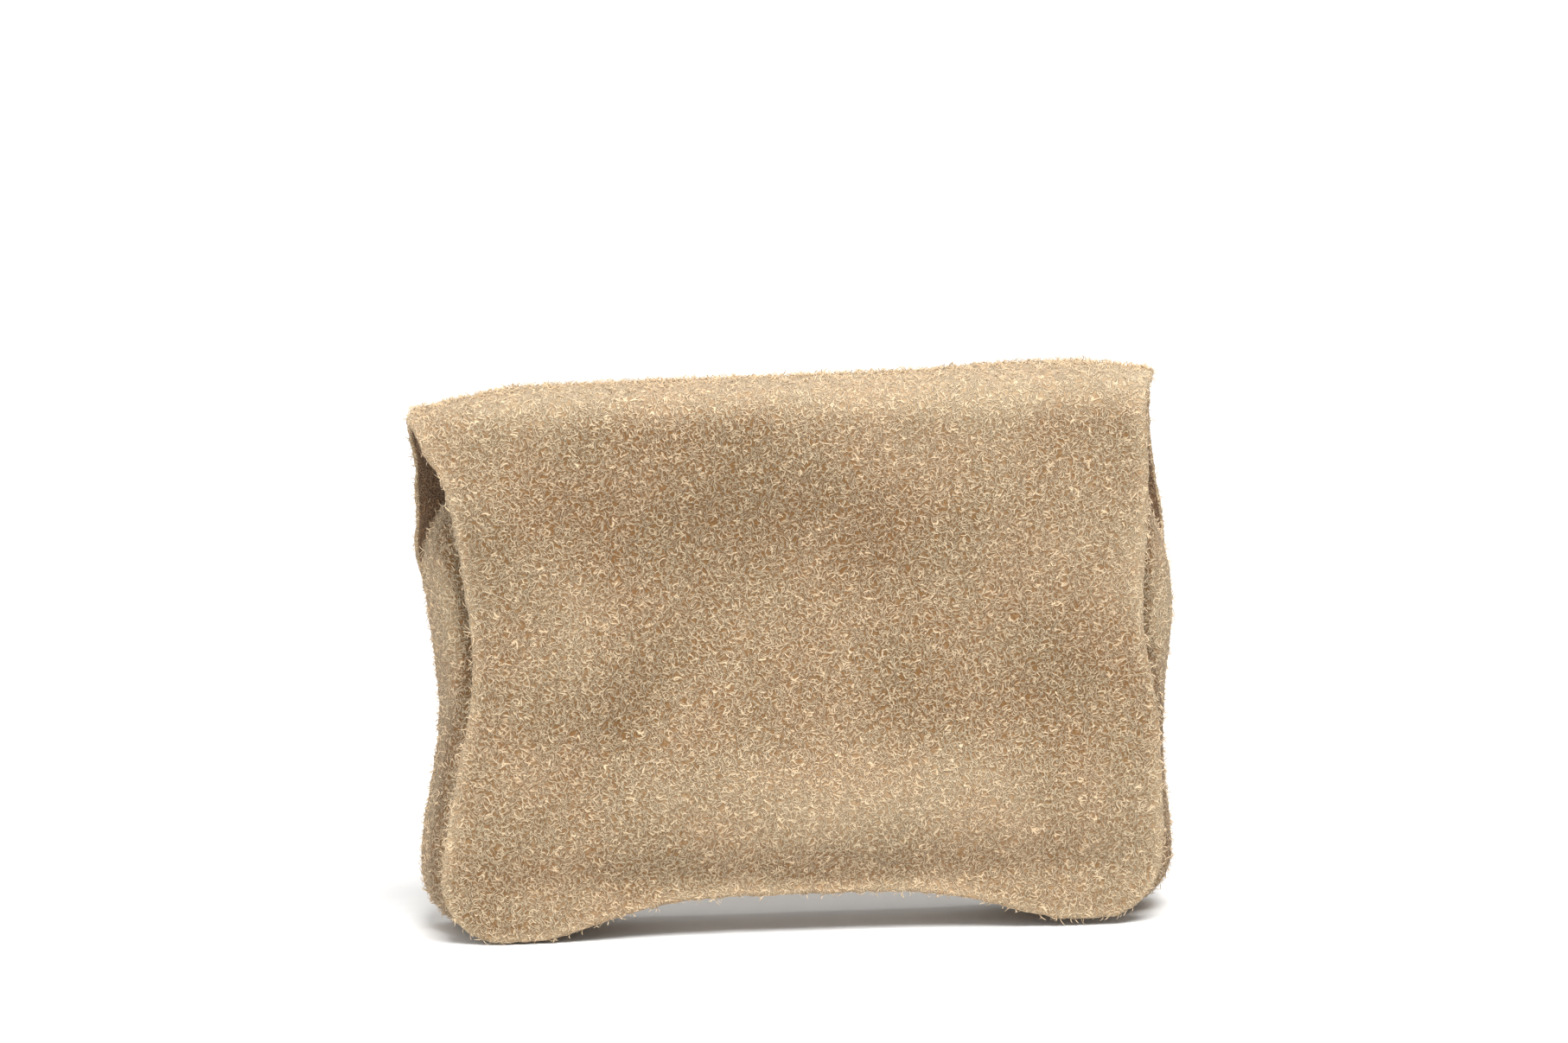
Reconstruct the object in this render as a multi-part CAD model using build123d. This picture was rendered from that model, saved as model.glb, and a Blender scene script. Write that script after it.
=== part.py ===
from build123d import *
from collections import namedtuple
from math import atan2, degrees
import os

# Suede flap wallet, standing upright. X runs across it, -Y is its front, +Z is up,
# and Z = 0 is the surface it stands on. All dimensions are in millimetres.

# ---- overall sizes ----
WIDTH = 120.0            # across the pouch's shoulders
HEIGHT = 88.0            # floor to the top of the fold
DEPTH = 20.0             # back face to the flap's front face
POUCH_DEPTH = 14.2       # back face to the pouch's front face
MOUTH_Z = 69.0           # height of the pouch's mouth
MOUTH_HALF = 55.5        # half width of the mouth
SHOULDER_LEAN = 0.5      # how much the pouch's shoulders lean in at the mouth
FRONT_EDGE_R = 2.0       # rounding between the pouch's front and its turned sides

# ---- sheet thicknesses ----
SUEDE = 1.2              # outer suede
FLAP_BACKING = 0.8       # thinner suede that faces the flap and the fold
CLOTH = 0.4              # cotton lining

# ---- seams ----
SEAM_ALLOWANCE = 4.0     # turned-in edge of the front panel, sewn to the back panel
HEM = 8.0                # turned-in strip along the mouth
HEM_END_GAP = 2.0        # each end of the hem to the side beyond it
HEM_STITCH_RISE = 1.5    # hem's lower edge up to its stitches
HEM_STITCH_END = 3.5     # last stitch to the mouth's corner
SEAM_INSET = 2.0         # flap's edge to the thread between its layers
SEAM_THREAD = 0.4
STITCH_LENGTH = 2.4
STITCH_WIDTH = 0.5
STITCH_HEIGHT = 0.3
STITCH_PITCH = 3.3
HINGE_GAP = 0.3          # free leather between two panels at a fold line

# ---- magnetic snap ----
SNAP_Z = 26.0            # height of its centre
SNAP_R = 7.0
WELL_R = 2.8             # hole that takes the stud
STUD_R = 2.2
SNAP_METAL = 0.4         # sheet metal of the socket
SNAP_WALL_GAP = 0.1      # magnet to the socket's rim
STUD_PLATE = 1.4
SNAP_CLOSING_GAP = 0.2   # metal to metal when the flap is closed
WASHER_R = 6.5
WASHER_THICK = 0.3
WASHER_HOLE_R = 1.8
PATCH_R = 10.0
PATCH_THICK = 0.3
LEG_X = 3.4              # each bent leg's distance from the snap's axis
LEG_THICK = 0.35
LEG_WIDTH = 2.4
LEG_REACH = 2.4          # how far a leg's end is bent outwards
STUD_TAB_THICK = 0.25    # flattened end of each of the stud's legs
SLIT_PLAY = 0.1          # play round a leg

# ---- card pocket ----
CARD_POCKET_HALF = 45.0  # takes a bank card, 85.6 by 54
CARD_POCKET_TOP = 58.0
CARD_POCKET_BASE = 13.0
CARD_GAP = 1.2
CARD_RIM = 1.6           # sewn border of the pocket
LINING_CLEARANCE = 0.2
LINING_HEM_ROOM = 1.4    # front panel to the lining behind its hem
LINING_TOP_DROP = 1.0    # mouth down to the back lining's edge

# ---- levels worked out from the sizes above ----
BACK_Y = DEPTH / 2
BACK_INNER_Y = BACK_Y - SUEDE
FRONT_Y = BACK_Y - POUCH_DEPTH
FRONT_INNER_Y = FRONT_Y + SUEDE
FLANGE_Y = BACK_INNER_Y - SUEDE
FLAP_Y = -DEPTH / 2
FLAP_MID_Y = FLAP_Y + SUEDE
FLAP_INNER_Y = FLAP_MID_Y + FLAP_BACKING
FOLD_Z = HEIGHT - SUEDE - FLAP_BACKING
LINING_INSET = SUEDE + LINING_CLEARANCE
LINING_FRONT_Y = FRONT_INNER_Y + LINING_HEM_ROOM

# A waisted panel: half widths at the shoulder, waist and hip, their heights, the
# radius of its bottom corners, the rise of its base, and where its feet start.
Panel = namedtuple("Panel", "shoulder waist hip shoulder_z waist_z base_z arch radius foot")

POUCH = Panel(WIDTH / 2, 56.4, 59.4, 57.0, 33.0, 0.0, 5.0, 9.5, 43.0)
FLAP = Panel(58.5, 53.5, 57.4, FOLD_Z - HINGE_GAP, 42.0, 0.4, 5.0, 10.0, 41.0)


def mirrored(point):
    return (-point[0], point[1])


def half_side(panel, inset):
    """Side seam from the bottom corner up to the shoulder, on the right."""
    corner_z = panel.base_z + panel.radius
    hip = (panel.hip - inset, corner_z)
    waist = (panel.waist - inset, panel.waist_z)
    shoulder = (panel.shoulder - inset, panel.shoulder_z)
    return [hip, waist, shoulder]


def lower_edges(panel, inset):
    """Edges from the left shoulder, round the base, to the right shoulder."""
    corner_x = panel.hip - panel.radius
    corner_z = panel.base_z + panel.radius
    floor = panel.base_z + inset
    radius = panel.radius - inset
    right = half_side(panel, inset)
    left = [mirrored(point) for point in right]
    return [
        Spline(left[::-1], tangents=[(0, -1), (0, -1)]),
        CenterArc((-corner_x, corner_z), radius, 180, 90),
        Line((-corner_x, floor), (-panel.foot, floor)),
        ThreePointArc((-panel.foot, floor), (0, floor + panel.arch), (panel.foot, floor)),
        Line((panel.foot, floor), (corner_x, floor)),
        CenterArc((corner_x, corner_z), radius, -90, 90),
        Spline(right, tangents=[(0, 1), (0, 1)]),
    ]


def straight_topped(panel, inset, top_z):
    """Panel whose sides run straight up from the shoulders."""
    shoulder = (panel.shoulder - inset, panel.shoulder_z)
    corner = (panel.shoulder - inset, top_z)
    edges = lower_edges(panel, inset)
    edges.append(Line(shoulder, corner))
    edges.append(Line(corner, mirrored(corner)))
    edges.append(Line(mirrored(corner), mirrored(shoulder)))
    return make_face(edges)


def pouch_edges(inset, top_z):
    """The pouch's seam line, with its shoulders drawn in towards the mouth."""
    shoulder = (POUCH.shoulder - inset, POUCH.shoulder_z)
    mouth = (MOUTH_HALF - inset, top_z)
    left = Spline(mirrored(mouth), mirrored(shoulder), tangents=[(-SHOULDER_LEAN, -1), (0, -1)])
    right = Spline(shoulder, mouth, tangents=[(0, 1), (-SHOULDER_LEAN, 1)])
    return [left] + lower_edges(POUCH, inset) + [right]


def pouch_face(inset, top_z):
    mouth = (MOUTH_HALF - inset, top_z)
    return make_face(pouch_edges(inset, top_z) + [Line(mouth, mirrored(mouth))])


def flap_face(inset):
    corner = (FLAP.shoulder - inset, FLAP.shoulder_z)
    return make_face(lower_edges(FLAP, inset) + [Line(corner, mirrored(corner))])


def slab(face, back_y, front_y):
    """The outline as a plate between two depths."""
    return extrude(Plane.XZ.offset(-back_y) * face, back_y - front_y)


def block(x0, x1, y0, y1, z0, z1):
    middle = Location(((x0 + x1) / 2, (y0 + y1) / 2, (z0 + z1) / 2))
    return middle * Box(x1 - x0, y1 - y0, z1 - z0)


def disc(radius, back_y, front_y):
    """A round plate on the snap's axis."""
    return slab(Location((0, SNAP_Z)) * Circle(radius), back_y, front_y)


def ring(outer, inner, back_y, front_y):
    return disc(outer, back_y, front_y) - disc(inner, back_y, front_y)


def leg_slits(back_y, front_y):
    """Both slits that the snap's legs pass through."""
    thick = LEG_THICK / 2 + SLIT_PLAY
    wide = LEG_WIDTH / 2 + SLIT_PLAY
    return Compound([
        block(x - thick, x + thick, front_y, back_y, SNAP_Z - wide, SNAP_Z + wide)
        for x in (-LEG_X, LEG_X)
    ])


def bent_legs(root_y, bend_y, end_y):
    """Two legs from a snap's plate, each with its end bent outwards flat."""
    low = SNAP_Z - LEG_WIDTH / 2
    high = SNAP_Z + LEG_WIDTH / 2
    legs = []
    for side in (-1, 1):
        inner = side * (LEG_X - LEG_THICK / 2)
        outer = side * (LEG_X + LEG_THICK / 2)
        tip = side * (LEG_X + LEG_REACH)
        shank = block(min(inner, outer), max(inner, outer), min(root_y, end_y),
                      max(root_y, end_y), low, high)
        tab = block(min(inner, tip), max(inner, tip), min(bend_y, end_y),
                    max(bend_y, end_y), low, high)
        legs.append(shank + tab)
    return legs


def stitches(path, face_y):
    """Even stitches that lie on a face and follow a line drawn in X and Z."""
    count = round(path.length / STITCH_PITCH)
    rows = []
    for index in range(count):
        place = path @ ((index + 0.5) / count)
        run = path % ((index + 0.5) / count)
        turn = degrees(atan2(run.Y, run.X))
        stitch = Box(STITCH_LENGTH, STITCH_WIDTH, STITCH_HEIGHT,
                     align=(Align.CENTER, Align.CENTER, Align.MIN))
        rows.append(Plane.XZ.offset(-face_y) * Location((place.X, place.Y, 0), (0, 0, turn)) * stitch)
    return Compound(rows)


# ---- pouch ----
def make_back_panel():
    return slab(straight_topped(POUCH, 0, FOLD_Z - HINGE_GAP), BACK_Y, BACK_INNER_Y)


def make_front_panel():
    """Puffed front with turned sides, an inner seam allowance and a hemmed mouth."""
    body = slab(pouch_face(0, MOUTH_Z), BACK_INNER_Y, FRONT_Y)
    front_edges = body.faces().sort_by(Axis.Y)[0].edges()
    mouth_edge = front_edges.sort_by(Axis.Z)[-1]
    rim = [edge for edge in front_edges if edge != mouth_edge]
    body = fillet(rim, FRONT_EDGE_R)
    cavity = slab(pouch_face(SUEDE, MOUTH_Z), FLANGE_Y, FRONT_INNER_Y)
    window = slab(pouch_face(SUEDE + SEAM_ALLOWANCE, MOUTH_Z), BACK_INNER_Y, FLANGE_Y)
    body = body - cavity - window
    hem_half = MOUTH_HALF - SUEDE - HEM_END_GAP
    hem = block(-hem_half, hem_half, FRONT_INNER_Y, FRONT_INNER_Y + SUEDE, MOUTH_Z - HEM, MOUTH_Z)
    return body + hem - leg_slits(FRONT_INNER_Y, FRONT_Y)


def make_lining_back():
    face = pouch_face(SUEDE + SEAM_ALLOWANCE + LINING_CLEARANCE, MOUTH_Z - LINING_TOP_DROP)
    return slab(face, BACK_INNER_Y, BACK_INNER_Y - CLOTH)


def make_lining_front():
    """Loose cotton tray inside the front panel, sewn under the hem."""
    top_z = MOUTH_Z - HEM - LINING_CLEARANCE
    back_y = FLANGE_Y - STITCH_HEIGHT - LINING_CLEARANCE
    outer = slab(pouch_face(LINING_INSET, MOUTH_Z), back_y, LINING_FRONT_Y)
    inner = slab(pouch_face(LINING_INSET + CLOTH, MOUTH_Z), back_y, LINING_FRONT_Y + CLOTH)
    above = block(-WIDTH, WIDTH, -DEPTH, DEPTH, top_z, HEIGHT)
    return outer - inner - above


def make_card_pocket():
    """Patch pocket on the back lining, open at its top."""
    back_y = BACK_INNER_Y - CLOTH
    gap_y = back_y - CARD_GAP
    front_y = gap_y - FLAP_BACKING
    half = CARD_POCKET_HALF
    outer = block(-half, half, front_y, back_y, CARD_POCKET_BASE, CARD_POCKET_TOP)
    slot = block(-half + CARD_RIM, half - CARD_RIM, gap_y, back_y,
                 CARD_POCKET_BASE + CARD_RIM, CARD_POCKET_TOP)
    return outer - slot


def make_card_pocket_thread():
    front_y = BACK_INNER_Y - CLOTH - CARD_GAP - FLAP_BACKING
    side = CARD_POCKET_HALF - CARD_RIM / 2
    base = CARD_POCKET_BASE + CARD_RIM / 2
    margin = STITCH_PITCH / 2
    columns = [
        stitches(Line((x, CARD_POCKET_TOP), (x, base + margin)), front_y) for x in (-side, side)
    ]
    row = stitches(Line((-side + margin, base), (side - margin, base)), front_y)
    return Compound([solid for group in columns + [row] for solid in group.solids()])


def make_body_seam_thread():
    path = Wire(pouch_edges(SUEDE + SEAM_ALLOWANCE / 2, MOUTH_Z - STITCH_PITCH))
    return stitches(path, FLANGE_Y)


def make_mouth_hem_thread():
    z = MOUTH_Z - HEM + HEM_STITCH_RISE
    half = MOUTH_HALF - HEM_STITCH_END
    return stitches(Line((-half, z), (half, z)), FRONT_Y)


# ---- snap socket, on the pouch's front ----
SOCKET_BASE_Y = FRONT_Y - SNAP_METAL
SOCKET_FACE_Y = FLAP_INNER_Y + STUD_PLATE + SNAP_CLOSING_GAP
SOCKET_FRONT_INNER_Y = SOCKET_FACE_Y + SNAP_METAL


def make_snap_socket_shell():
    cup = disc(SNAP_R, SOCKET_BASE_Y, SOCKET_FACE_Y)
    hollow = disc(SNAP_R - SNAP_METAL, SOCKET_BASE_Y, SOCKET_FRONT_INNER_Y)
    well = disc(WELL_R, SOCKET_BASE_Y, SOCKET_FACE_Y)
    return cup - hollow - well


def make_snap_socket_magnet():
    rim = SNAP_R - SNAP_METAL - SNAP_WALL_GAP
    return ring(rim, WELL_R, SOCKET_BASE_Y, SOCKET_FRONT_INNER_Y)


def make_snap_socket_base():
    patch_y = FRONT_INNER_Y + PATCH_THICK + WASHER_THICK
    plate = disc(SNAP_R, FRONT_Y, SOCKET_BASE_Y)
    for leg in bent_legs(FRONT_Y, patch_y, patch_y + LEG_THICK):
        plate = plate + leg
    return plate


def make_snap_socket_patch():
    back_y = FRONT_INNER_Y + PATCH_THICK
    return disc(PATCH_R, back_y, FRONT_INNER_Y) - leg_slits(back_y, FRONT_INNER_Y)


def make_snap_socket_washer():
    front_y = FRONT_INNER_Y + PATCH_THICK
    back_y = front_y + WASHER_THICK
    return ring(WASHER_R, WASHER_HOLE_R, back_y, front_y) - leg_slits(back_y, front_y)


# ---- fold over the top ----
def make_fold_outer():
    return block(-FLAP.shoulder, FLAP.shoulder, FLAP_INNER_Y + HINGE_GAP, BACK_INNER_Y - HINGE_GAP,
                 HEIGHT - SUEDE, HEIGHT)


def make_fold_lining():
    return block(-FLAP.shoulder, FLAP.shoulder, FLAP_INNER_Y + HINGE_GAP, BACK_INNER_Y - HINGE_GAP,
                 FOLD_Z, HEIGHT - SUEDE)


# ---- flap ----
STUD_PATCH_Y = FLAP_MID_Y - PATCH_THICK
STUD_WASHER_Y = STUD_PATCH_Y - WASHER_THICK
STUD_BEND_Y = STUD_WASHER_Y - STUD_TAB_THICK


def make_flap_outer():
    """Outer suede, pressed thin where the snap's washer sits behind it."""
    sheet = slab(flap_face(0), FLAP_MID_Y, FLAP_Y)
    patch_dent = disc(PATCH_R + SLIT_PLAY, FLAP_MID_Y, STUD_PATCH_Y)
    washer_dent = disc(WASHER_R + SLIT_PLAY, STUD_PATCH_Y, STUD_BEND_Y)
    return sheet - patch_dent - washer_dent


def flap_seam_band(play):
    outer = slab(flap_face(SEAM_INSET - play), FLAP_MID_Y + SEAM_THREAD, FLAP_MID_Y)
    inner = slab(flap_face(SEAM_INSET + SEAM_THREAD + play), FLAP_MID_Y + SEAM_THREAD, FLAP_MID_Y)
    return outer - inner


def make_flap_lining():
    sheet = slab(flap_face(0), FLAP_INNER_Y, FLAP_MID_Y)
    return sheet - flap_seam_band(SLIT_PLAY) - leg_slits(FLAP_INNER_Y, FLAP_MID_Y)


def make_flap_seam_thread():
    """One thread that runs round the flap between its two layers."""
    return flap_seam_band(0)


def make_snap_stud_plate():
    stud_tip_y = SOCKET_BASE_Y - SNAP_CLOSING_GAP
    face_y = FLAP_INNER_Y + STUD_PLATE
    plate = disc(SNAP_R, face_y, FLAP_INNER_Y) + disc(STUD_R, stud_tip_y, face_y)
    for leg in bent_legs(FLAP_INNER_Y, STUD_WASHER_Y, STUD_BEND_Y):
        plate = plate + leg
    return plate


def make_snap_stud_patch():
    return disc(PATCH_R, FLAP_MID_Y, STUD_PATCH_Y) - leg_slits(FLAP_MID_Y, STUD_PATCH_Y)


def make_snap_stud_washer():
    washer = ring(WASHER_R, WASHER_HOLE_R, STUD_PATCH_Y, STUD_WASHER_Y)
    return washer - leg_slits(STUD_PATCH_Y, STUD_WASHER_Y)


NODES = {
    "back_panel": make_back_panel,
    "front_panel": make_front_panel,
    "lining_back": make_lining_back,
    "lining_front": make_lining_front,
    "card_pocket": make_card_pocket,
    "card_pocket_thread": make_card_pocket_thread,
    "body_seam_thread": make_body_seam_thread,
    "mouth_hem_thread": make_mouth_hem_thread,
    "snap_socket_shell": make_snap_socket_shell,
    "snap_socket_magnet": make_snap_socket_magnet,
    "snap_socket_base": make_snap_socket_base,
    "snap_socket_patch": make_snap_socket_patch,
    "snap_socket_washer": make_snap_socket_washer,
    "fold_outer": make_fold_outer,
    "fold_lining": make_fold_lining,
    "flap_outer": make_flap_outer,
    "flap_lining": make_flap_lining,
    "flap_seam_thread": make_flap_seam_thread,
    "snap_stud_plate": make_snap_stud_plate,
    "snap_stud_patch": make_snap_stud_patch,
    "snap_stud_washer": make_snap_stud_washer,
}

os.makedirs("parts", exist_ok=True)
for name, make in NODES.items():
    export_step(make(), f"parts/{name}.step")
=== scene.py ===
import math
from collections import namedtuple

import bpy
import numpy as np
from bpy.props import FloatProperty, FloatVectorProperty, IntProperty, PointerProperty
from bpy.types import Operator, Panel, PropertyGroup
from mathutils import Matrix, Vector, noise


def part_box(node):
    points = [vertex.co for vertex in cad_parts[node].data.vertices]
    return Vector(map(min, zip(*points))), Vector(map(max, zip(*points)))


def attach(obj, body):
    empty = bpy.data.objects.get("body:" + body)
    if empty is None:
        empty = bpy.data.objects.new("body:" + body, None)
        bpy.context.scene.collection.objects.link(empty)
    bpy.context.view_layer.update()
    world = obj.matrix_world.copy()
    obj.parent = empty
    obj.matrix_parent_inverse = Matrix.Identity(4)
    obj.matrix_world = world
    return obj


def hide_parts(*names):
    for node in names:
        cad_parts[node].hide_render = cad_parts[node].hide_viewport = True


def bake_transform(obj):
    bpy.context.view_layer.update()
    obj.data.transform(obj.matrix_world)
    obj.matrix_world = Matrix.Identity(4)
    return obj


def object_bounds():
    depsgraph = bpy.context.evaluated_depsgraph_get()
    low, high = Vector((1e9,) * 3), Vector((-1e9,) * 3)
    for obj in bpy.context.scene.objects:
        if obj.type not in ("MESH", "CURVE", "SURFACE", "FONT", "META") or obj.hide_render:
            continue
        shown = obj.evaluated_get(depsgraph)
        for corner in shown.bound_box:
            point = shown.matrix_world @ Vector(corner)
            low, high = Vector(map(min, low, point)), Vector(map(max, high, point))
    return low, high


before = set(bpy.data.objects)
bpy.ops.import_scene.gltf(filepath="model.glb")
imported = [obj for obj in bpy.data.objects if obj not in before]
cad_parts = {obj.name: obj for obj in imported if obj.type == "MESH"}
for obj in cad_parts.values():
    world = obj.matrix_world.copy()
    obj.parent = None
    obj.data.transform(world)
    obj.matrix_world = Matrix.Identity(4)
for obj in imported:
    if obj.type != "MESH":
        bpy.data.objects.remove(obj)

bl_info = {
    "name": "Suede Flap Wallet",
    "version": (1, 0, 0),
    "blender": (4, 5, 0),
    "location": "View3D > Sidebar > Wallet",
    "description": "Dresses the wallet's frame in napped suede, cotton, thread and brass",
    "category": "Object",
}

MM = 0.001
# Point attribute: painted light and shade on the suede's faces, and the paleness of its cut edges.
NAP_LAY_AND_PAINTED_LIGHT = "nap_lay"
CAD_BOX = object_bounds()
FLOOR_Z = CAD_BOX[0].z

# Where the frame's pieces lie, in metres.
BACK_LOW, BACK_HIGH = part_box("back_panel")
FRONT_LOW, FRONT_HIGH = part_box("front_panel")
FLAP_LOW, FLAP_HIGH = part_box("flap_outer")
FACING_LOW, FACING_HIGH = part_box("flap_lining")
FOLD_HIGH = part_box("fold_outer")[1]
HEM_THREAD_LOW, HEM_THREAD_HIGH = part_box("mouth_hem_thread")
POCKET_LOW, POCKET_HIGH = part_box("card_pocket")
SNAP_LOW, SNAP_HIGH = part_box("snap_socket_shell")
LINING_LOW, LINING_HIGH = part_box("lining_front")

SUEDE_THICK = BACK_HIGH.y - BACK_LOW.y
FACING_THICK = FACING_HIGH.y - FACING_LOW.y
SNAP_X = (SNAP_LOW.x + SNAP_HIGH.x) / 2
SNAP_Z = (SNAP_LOW.z + SNAP_HIGH.z) / 2
MOUTH_Z = FRONT_HIGH.z

# A waisted panel: half widths at shoulder, waist and hip, their heights, the bottom
# corners' radius, the rise of the base, and how far the top draws in at its mouth.
Shape = namedtuple("Shape", "shoulder waist hip shoulder_z waist_z base_z radius rise draw_in")

# A smooth hump in the wallet's front view: centre and size in millimetres, turn in degrees.
Hill = namedtuple("Hill", "height at size turn", defaults=(0.0,))

# A studio lamp: where it is, what it is aimed at and its size, in metres.
Softbox = namedtuple("Softbox", "name place aim size power")


# ---------------------------------------------------------------- settings
class WalletSizes(PropertyGroup):
    """Sizes of the wallet's soft pieces."""

    flap_shoulder: FloatProperty(
        name="Flap shoulder", description="Half width of the flap just below the fold",
        default=55.7 * MM, unit="LENGTH")
    flap_waist: FloatProperty(
        name="Flap waist", description="Half width of the flap at its narrowest",
        default=53.2 * MM, unit="LENGTH")
    flap_hip: FloatProperty(
        name="Flap hip", description="Half width of the flap above its bottom corners",
        default=57.4 * MM, unit="LENGTH")
    pouch_waist: FloatProperty(
        name="Pouch waist", description="Half width of the pouch at its narrowest",
        default=57.8 * MM, unit="LENGTH")
    pouch_hip: FloatProperty(
        name="Pouch hip", description="Half width of the pouch above its bottom corners",
        default=60.6 * MM, unit="LENGTH")
    corner_radius: FloatProperty(
        name="Corner radius", description="Radius of the bottom corners",
        default=9.8 * MM, unit="LENGTH")
    base_rise: FloatProperty(
        name="Base rise", description="How far the bottom edge arches up between the corners",
        default=6.0 * MM, unit="LENGTH")
    side_round: FloatProperty(
        name="Side rounding", description="How far the pouch's turned side rolls onto its front",
        default=5.2 * MM, unit="LENGTH")
    grain: FloatProperty(
        name="Grid step", description="Spacing of the suede's mesh",
        default=0.5 * MM, unit="LENGTH")
    nap: FloatProperty(
        name="Nap height", description="Height of the suede's small lumps",
        default=0.16 * MM, unit="LENGTH")
    fibre_length: FloatProperty(
        name="Fibre length", description="Length of the loose fibres along the edges",
        default=1.3 * MM, unit="LENGTH")
    fibre_count: IntProperty(
        name="Fibres", description="Loose fibres on each large piece", default=5200, min=0)
    stitch_length: FloatProperty(
        name="Stitch length", description="Visible length of one stitch",
        default=2.5 * MM, unit="LENGTH")
    stitch_pitch: FloatProperty(
        name="Stitch pitch", description="Distance from one stitch to the next",
        default=3.3 * MM, unit="LENGTH")
    thread_radius: FloatProperty(
        name="Thread radius", description="Radius of each of the thread's two plies",
        default=0.17 * MM, unit="LENGTH")


class WalletColours(PropertyGroup):
    """Colours of the suede, cotton, thread and metal, as linear values."""

    suede_tip: FloatVectorProperty(
        name="Suede tips", description="Colour of the raised nap", subtype="COLOR",
        default=(0.815, 0.625, 0.405))
    # The roots' colour is darkened as painted shade between the fibres.
    suede_root_shade: FloatVectorProperty(
        name="Suede roots", description="Colour between the fibres", subtype="COLOR",
        default=(0.190, 0.096, 0.033))
    # The inside colours are the flesh side's tone, darkened further as painted shade for the
    # pouch's inside.
    inside_tip_shaded: FloatVectorProperty(
        name="Inside tips", description="Colour of the flesh side's nap", subtype="COLOR",
        default=(0.42, 0.255, 0.145))
    inside_root_shaded: FloatVectorProperty(
        name="Inside roots", description="Colour between the flesh side's fibres",
        subtype="COLOR", default=(0.13, 0.070, 0.034))
    cotton: FloatVectorProperty(
        name="Cotton", description="Colour of the lining", subtype="COLOR",
        default=(0.62, 0.52, 0.38))
    thread: FloatVectorProperty(
        name="Thread", description="Colour of the stitching", subtype="COLOR",
        default=(0.78, 0.65, 0.47))
    brass: FloatVectorProperty(
        name="Snap plating", description="Colour of the snap's light brass", subtype="COLOR",
        default=(0.72, 0.55, 0.29))


class WalletStage(PropertyGroup):
    """Camera and studio light."""

    azimuth: FloatProperty(
        name="Camera azimuth", description="Camera's turn round the wallet",
        default=math.radians(-6.0), subtype="ANGLE")
    elevation: FloatProperty(
        name="Camera elevation", description="Camera's height as an angle",
        default=math.radians(8.0), subtype="ANGLE")
    roll: FloatProperty(
        name="Camera roll", description="Camera's tilt to its right",
        default=math.radians(0.6), subtype="ANGLE")
    distance: FloatProperty(
        name="Camera distance", description="From the wallet to the camera",
        default=0.8, unit="LENGTH")
    field_width: FloatProperty(
        name="Field width", description="Width of the view at the wallet",
        default=0.2485, unit="LENGTH")
    top_light: FloatProperty(
        name="Top light", description="Power of the softbox overhead", default=16.3,
        unit="POWER")
    front_light: FloatProperty(
        name="Front light", description="Power of the softbox in front", default=2.6,
        unit="POWER")
    side_light: FloatProperty(
        name="Side light", description="Power of the softbox at the left", default=1.4,
        unit="POWER")
    backdrop_light: FloatProperty(
        name="Backdrop light", description="Power of the softbox aimed at the sweep",
        default=14.0, unit="POWER")
    sky: FloatProperty(
        name="Room light", description="Strength of the room's own light", default=0.35)


def sizes():
    return bpy.context.scene.wallet_sizes


def colours():
    return bpy.context.scene.wallet_colours


# ---------------------------------------------------------------- curves and grids
def ease(t):
    t = np.clip(t, 0.0, 1.0)
    return t * t * (3 - 2 * t)


def climb(value, start, end):
    """0 below start and 1 above end, both in millimetres."""
    return ease((value - start * MM) / ((end - start) * MM))


def ridge(value, at, width):
    """A smooth hump of height 1 along one axis, at and width in millimetres."""
    return np.exp(-((value - at * MM) / (width * MM)) ** 2)


def hills(x, z, humps):
    """The summed height of several humps."""
    total = np.zeros_like(x)
    for hump in humps:
        dx = x / MM - hump.at[0]
        dz = z / MM - hump.at[1]
        angle = math.radians(hump.turn)
        along = dx * math.cos(angle) + dz * math.sin(angle)
        across = dz * math.cos(angle) - dx * math.sin(angle)
        total += hump.height * np.exp(-((along / hump.size[0]) ** 2) - (across / hump.size[1]) ** 2)
    return total


def flap_shape():
    s = sizes()
    return Shape(s.flap_shoulder, s.flap_waist, s.flap_hip, 80 * MM, 47 * MM, FLAP_LOW.z,
                 s.corner_radius, s.base_rise, 0.0)


def pouch_shape():
    s = sizes()
    return Shape(FRONT_HIGH.x, s.pouch_waist, s.pouch_hip, 50 * MM, 33 * MM, FRONT_LOW.z,
                 s.corner_radius, s.base_rise, 4.2 * MM)


def back_shape():
    """The pouch's outline below, and the fold's width at the top."""
    return pouch_shape()._replace(draw_in=0.0)


def half_width(shape, z):
    corner_z = shape.base_z + shape.radius
    low = ease((z - corner_z) / (shape.waist_z - corner_z))
    high = ease((z - shape.waist_z) / (shape.shoulder_z - shape.waist_z))
    width = shape.hip + (shape.waist - shape.hip) * low + (shape.shoulder - shape.waist) * high
    above = np.maximum(z - shape.shoulder_z, 0) / (MOUTH_Z - shape.shoulder_z)
    return width - shape.draw_in * above ** 2


def resample(line, count):
    """The same line with count equal steps."""
    step = np.linalg.norm(np.diff(line, axis=0), axis=1)
    run = np.concatenate([[0.0], np.cumsum(step)])
    at = np.linspace(0.0, run[-1], count + 1)
    return np.stack([np.interp(at, run, line[:, k]) for k in range(line.shape[1])], axis=1)


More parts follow.
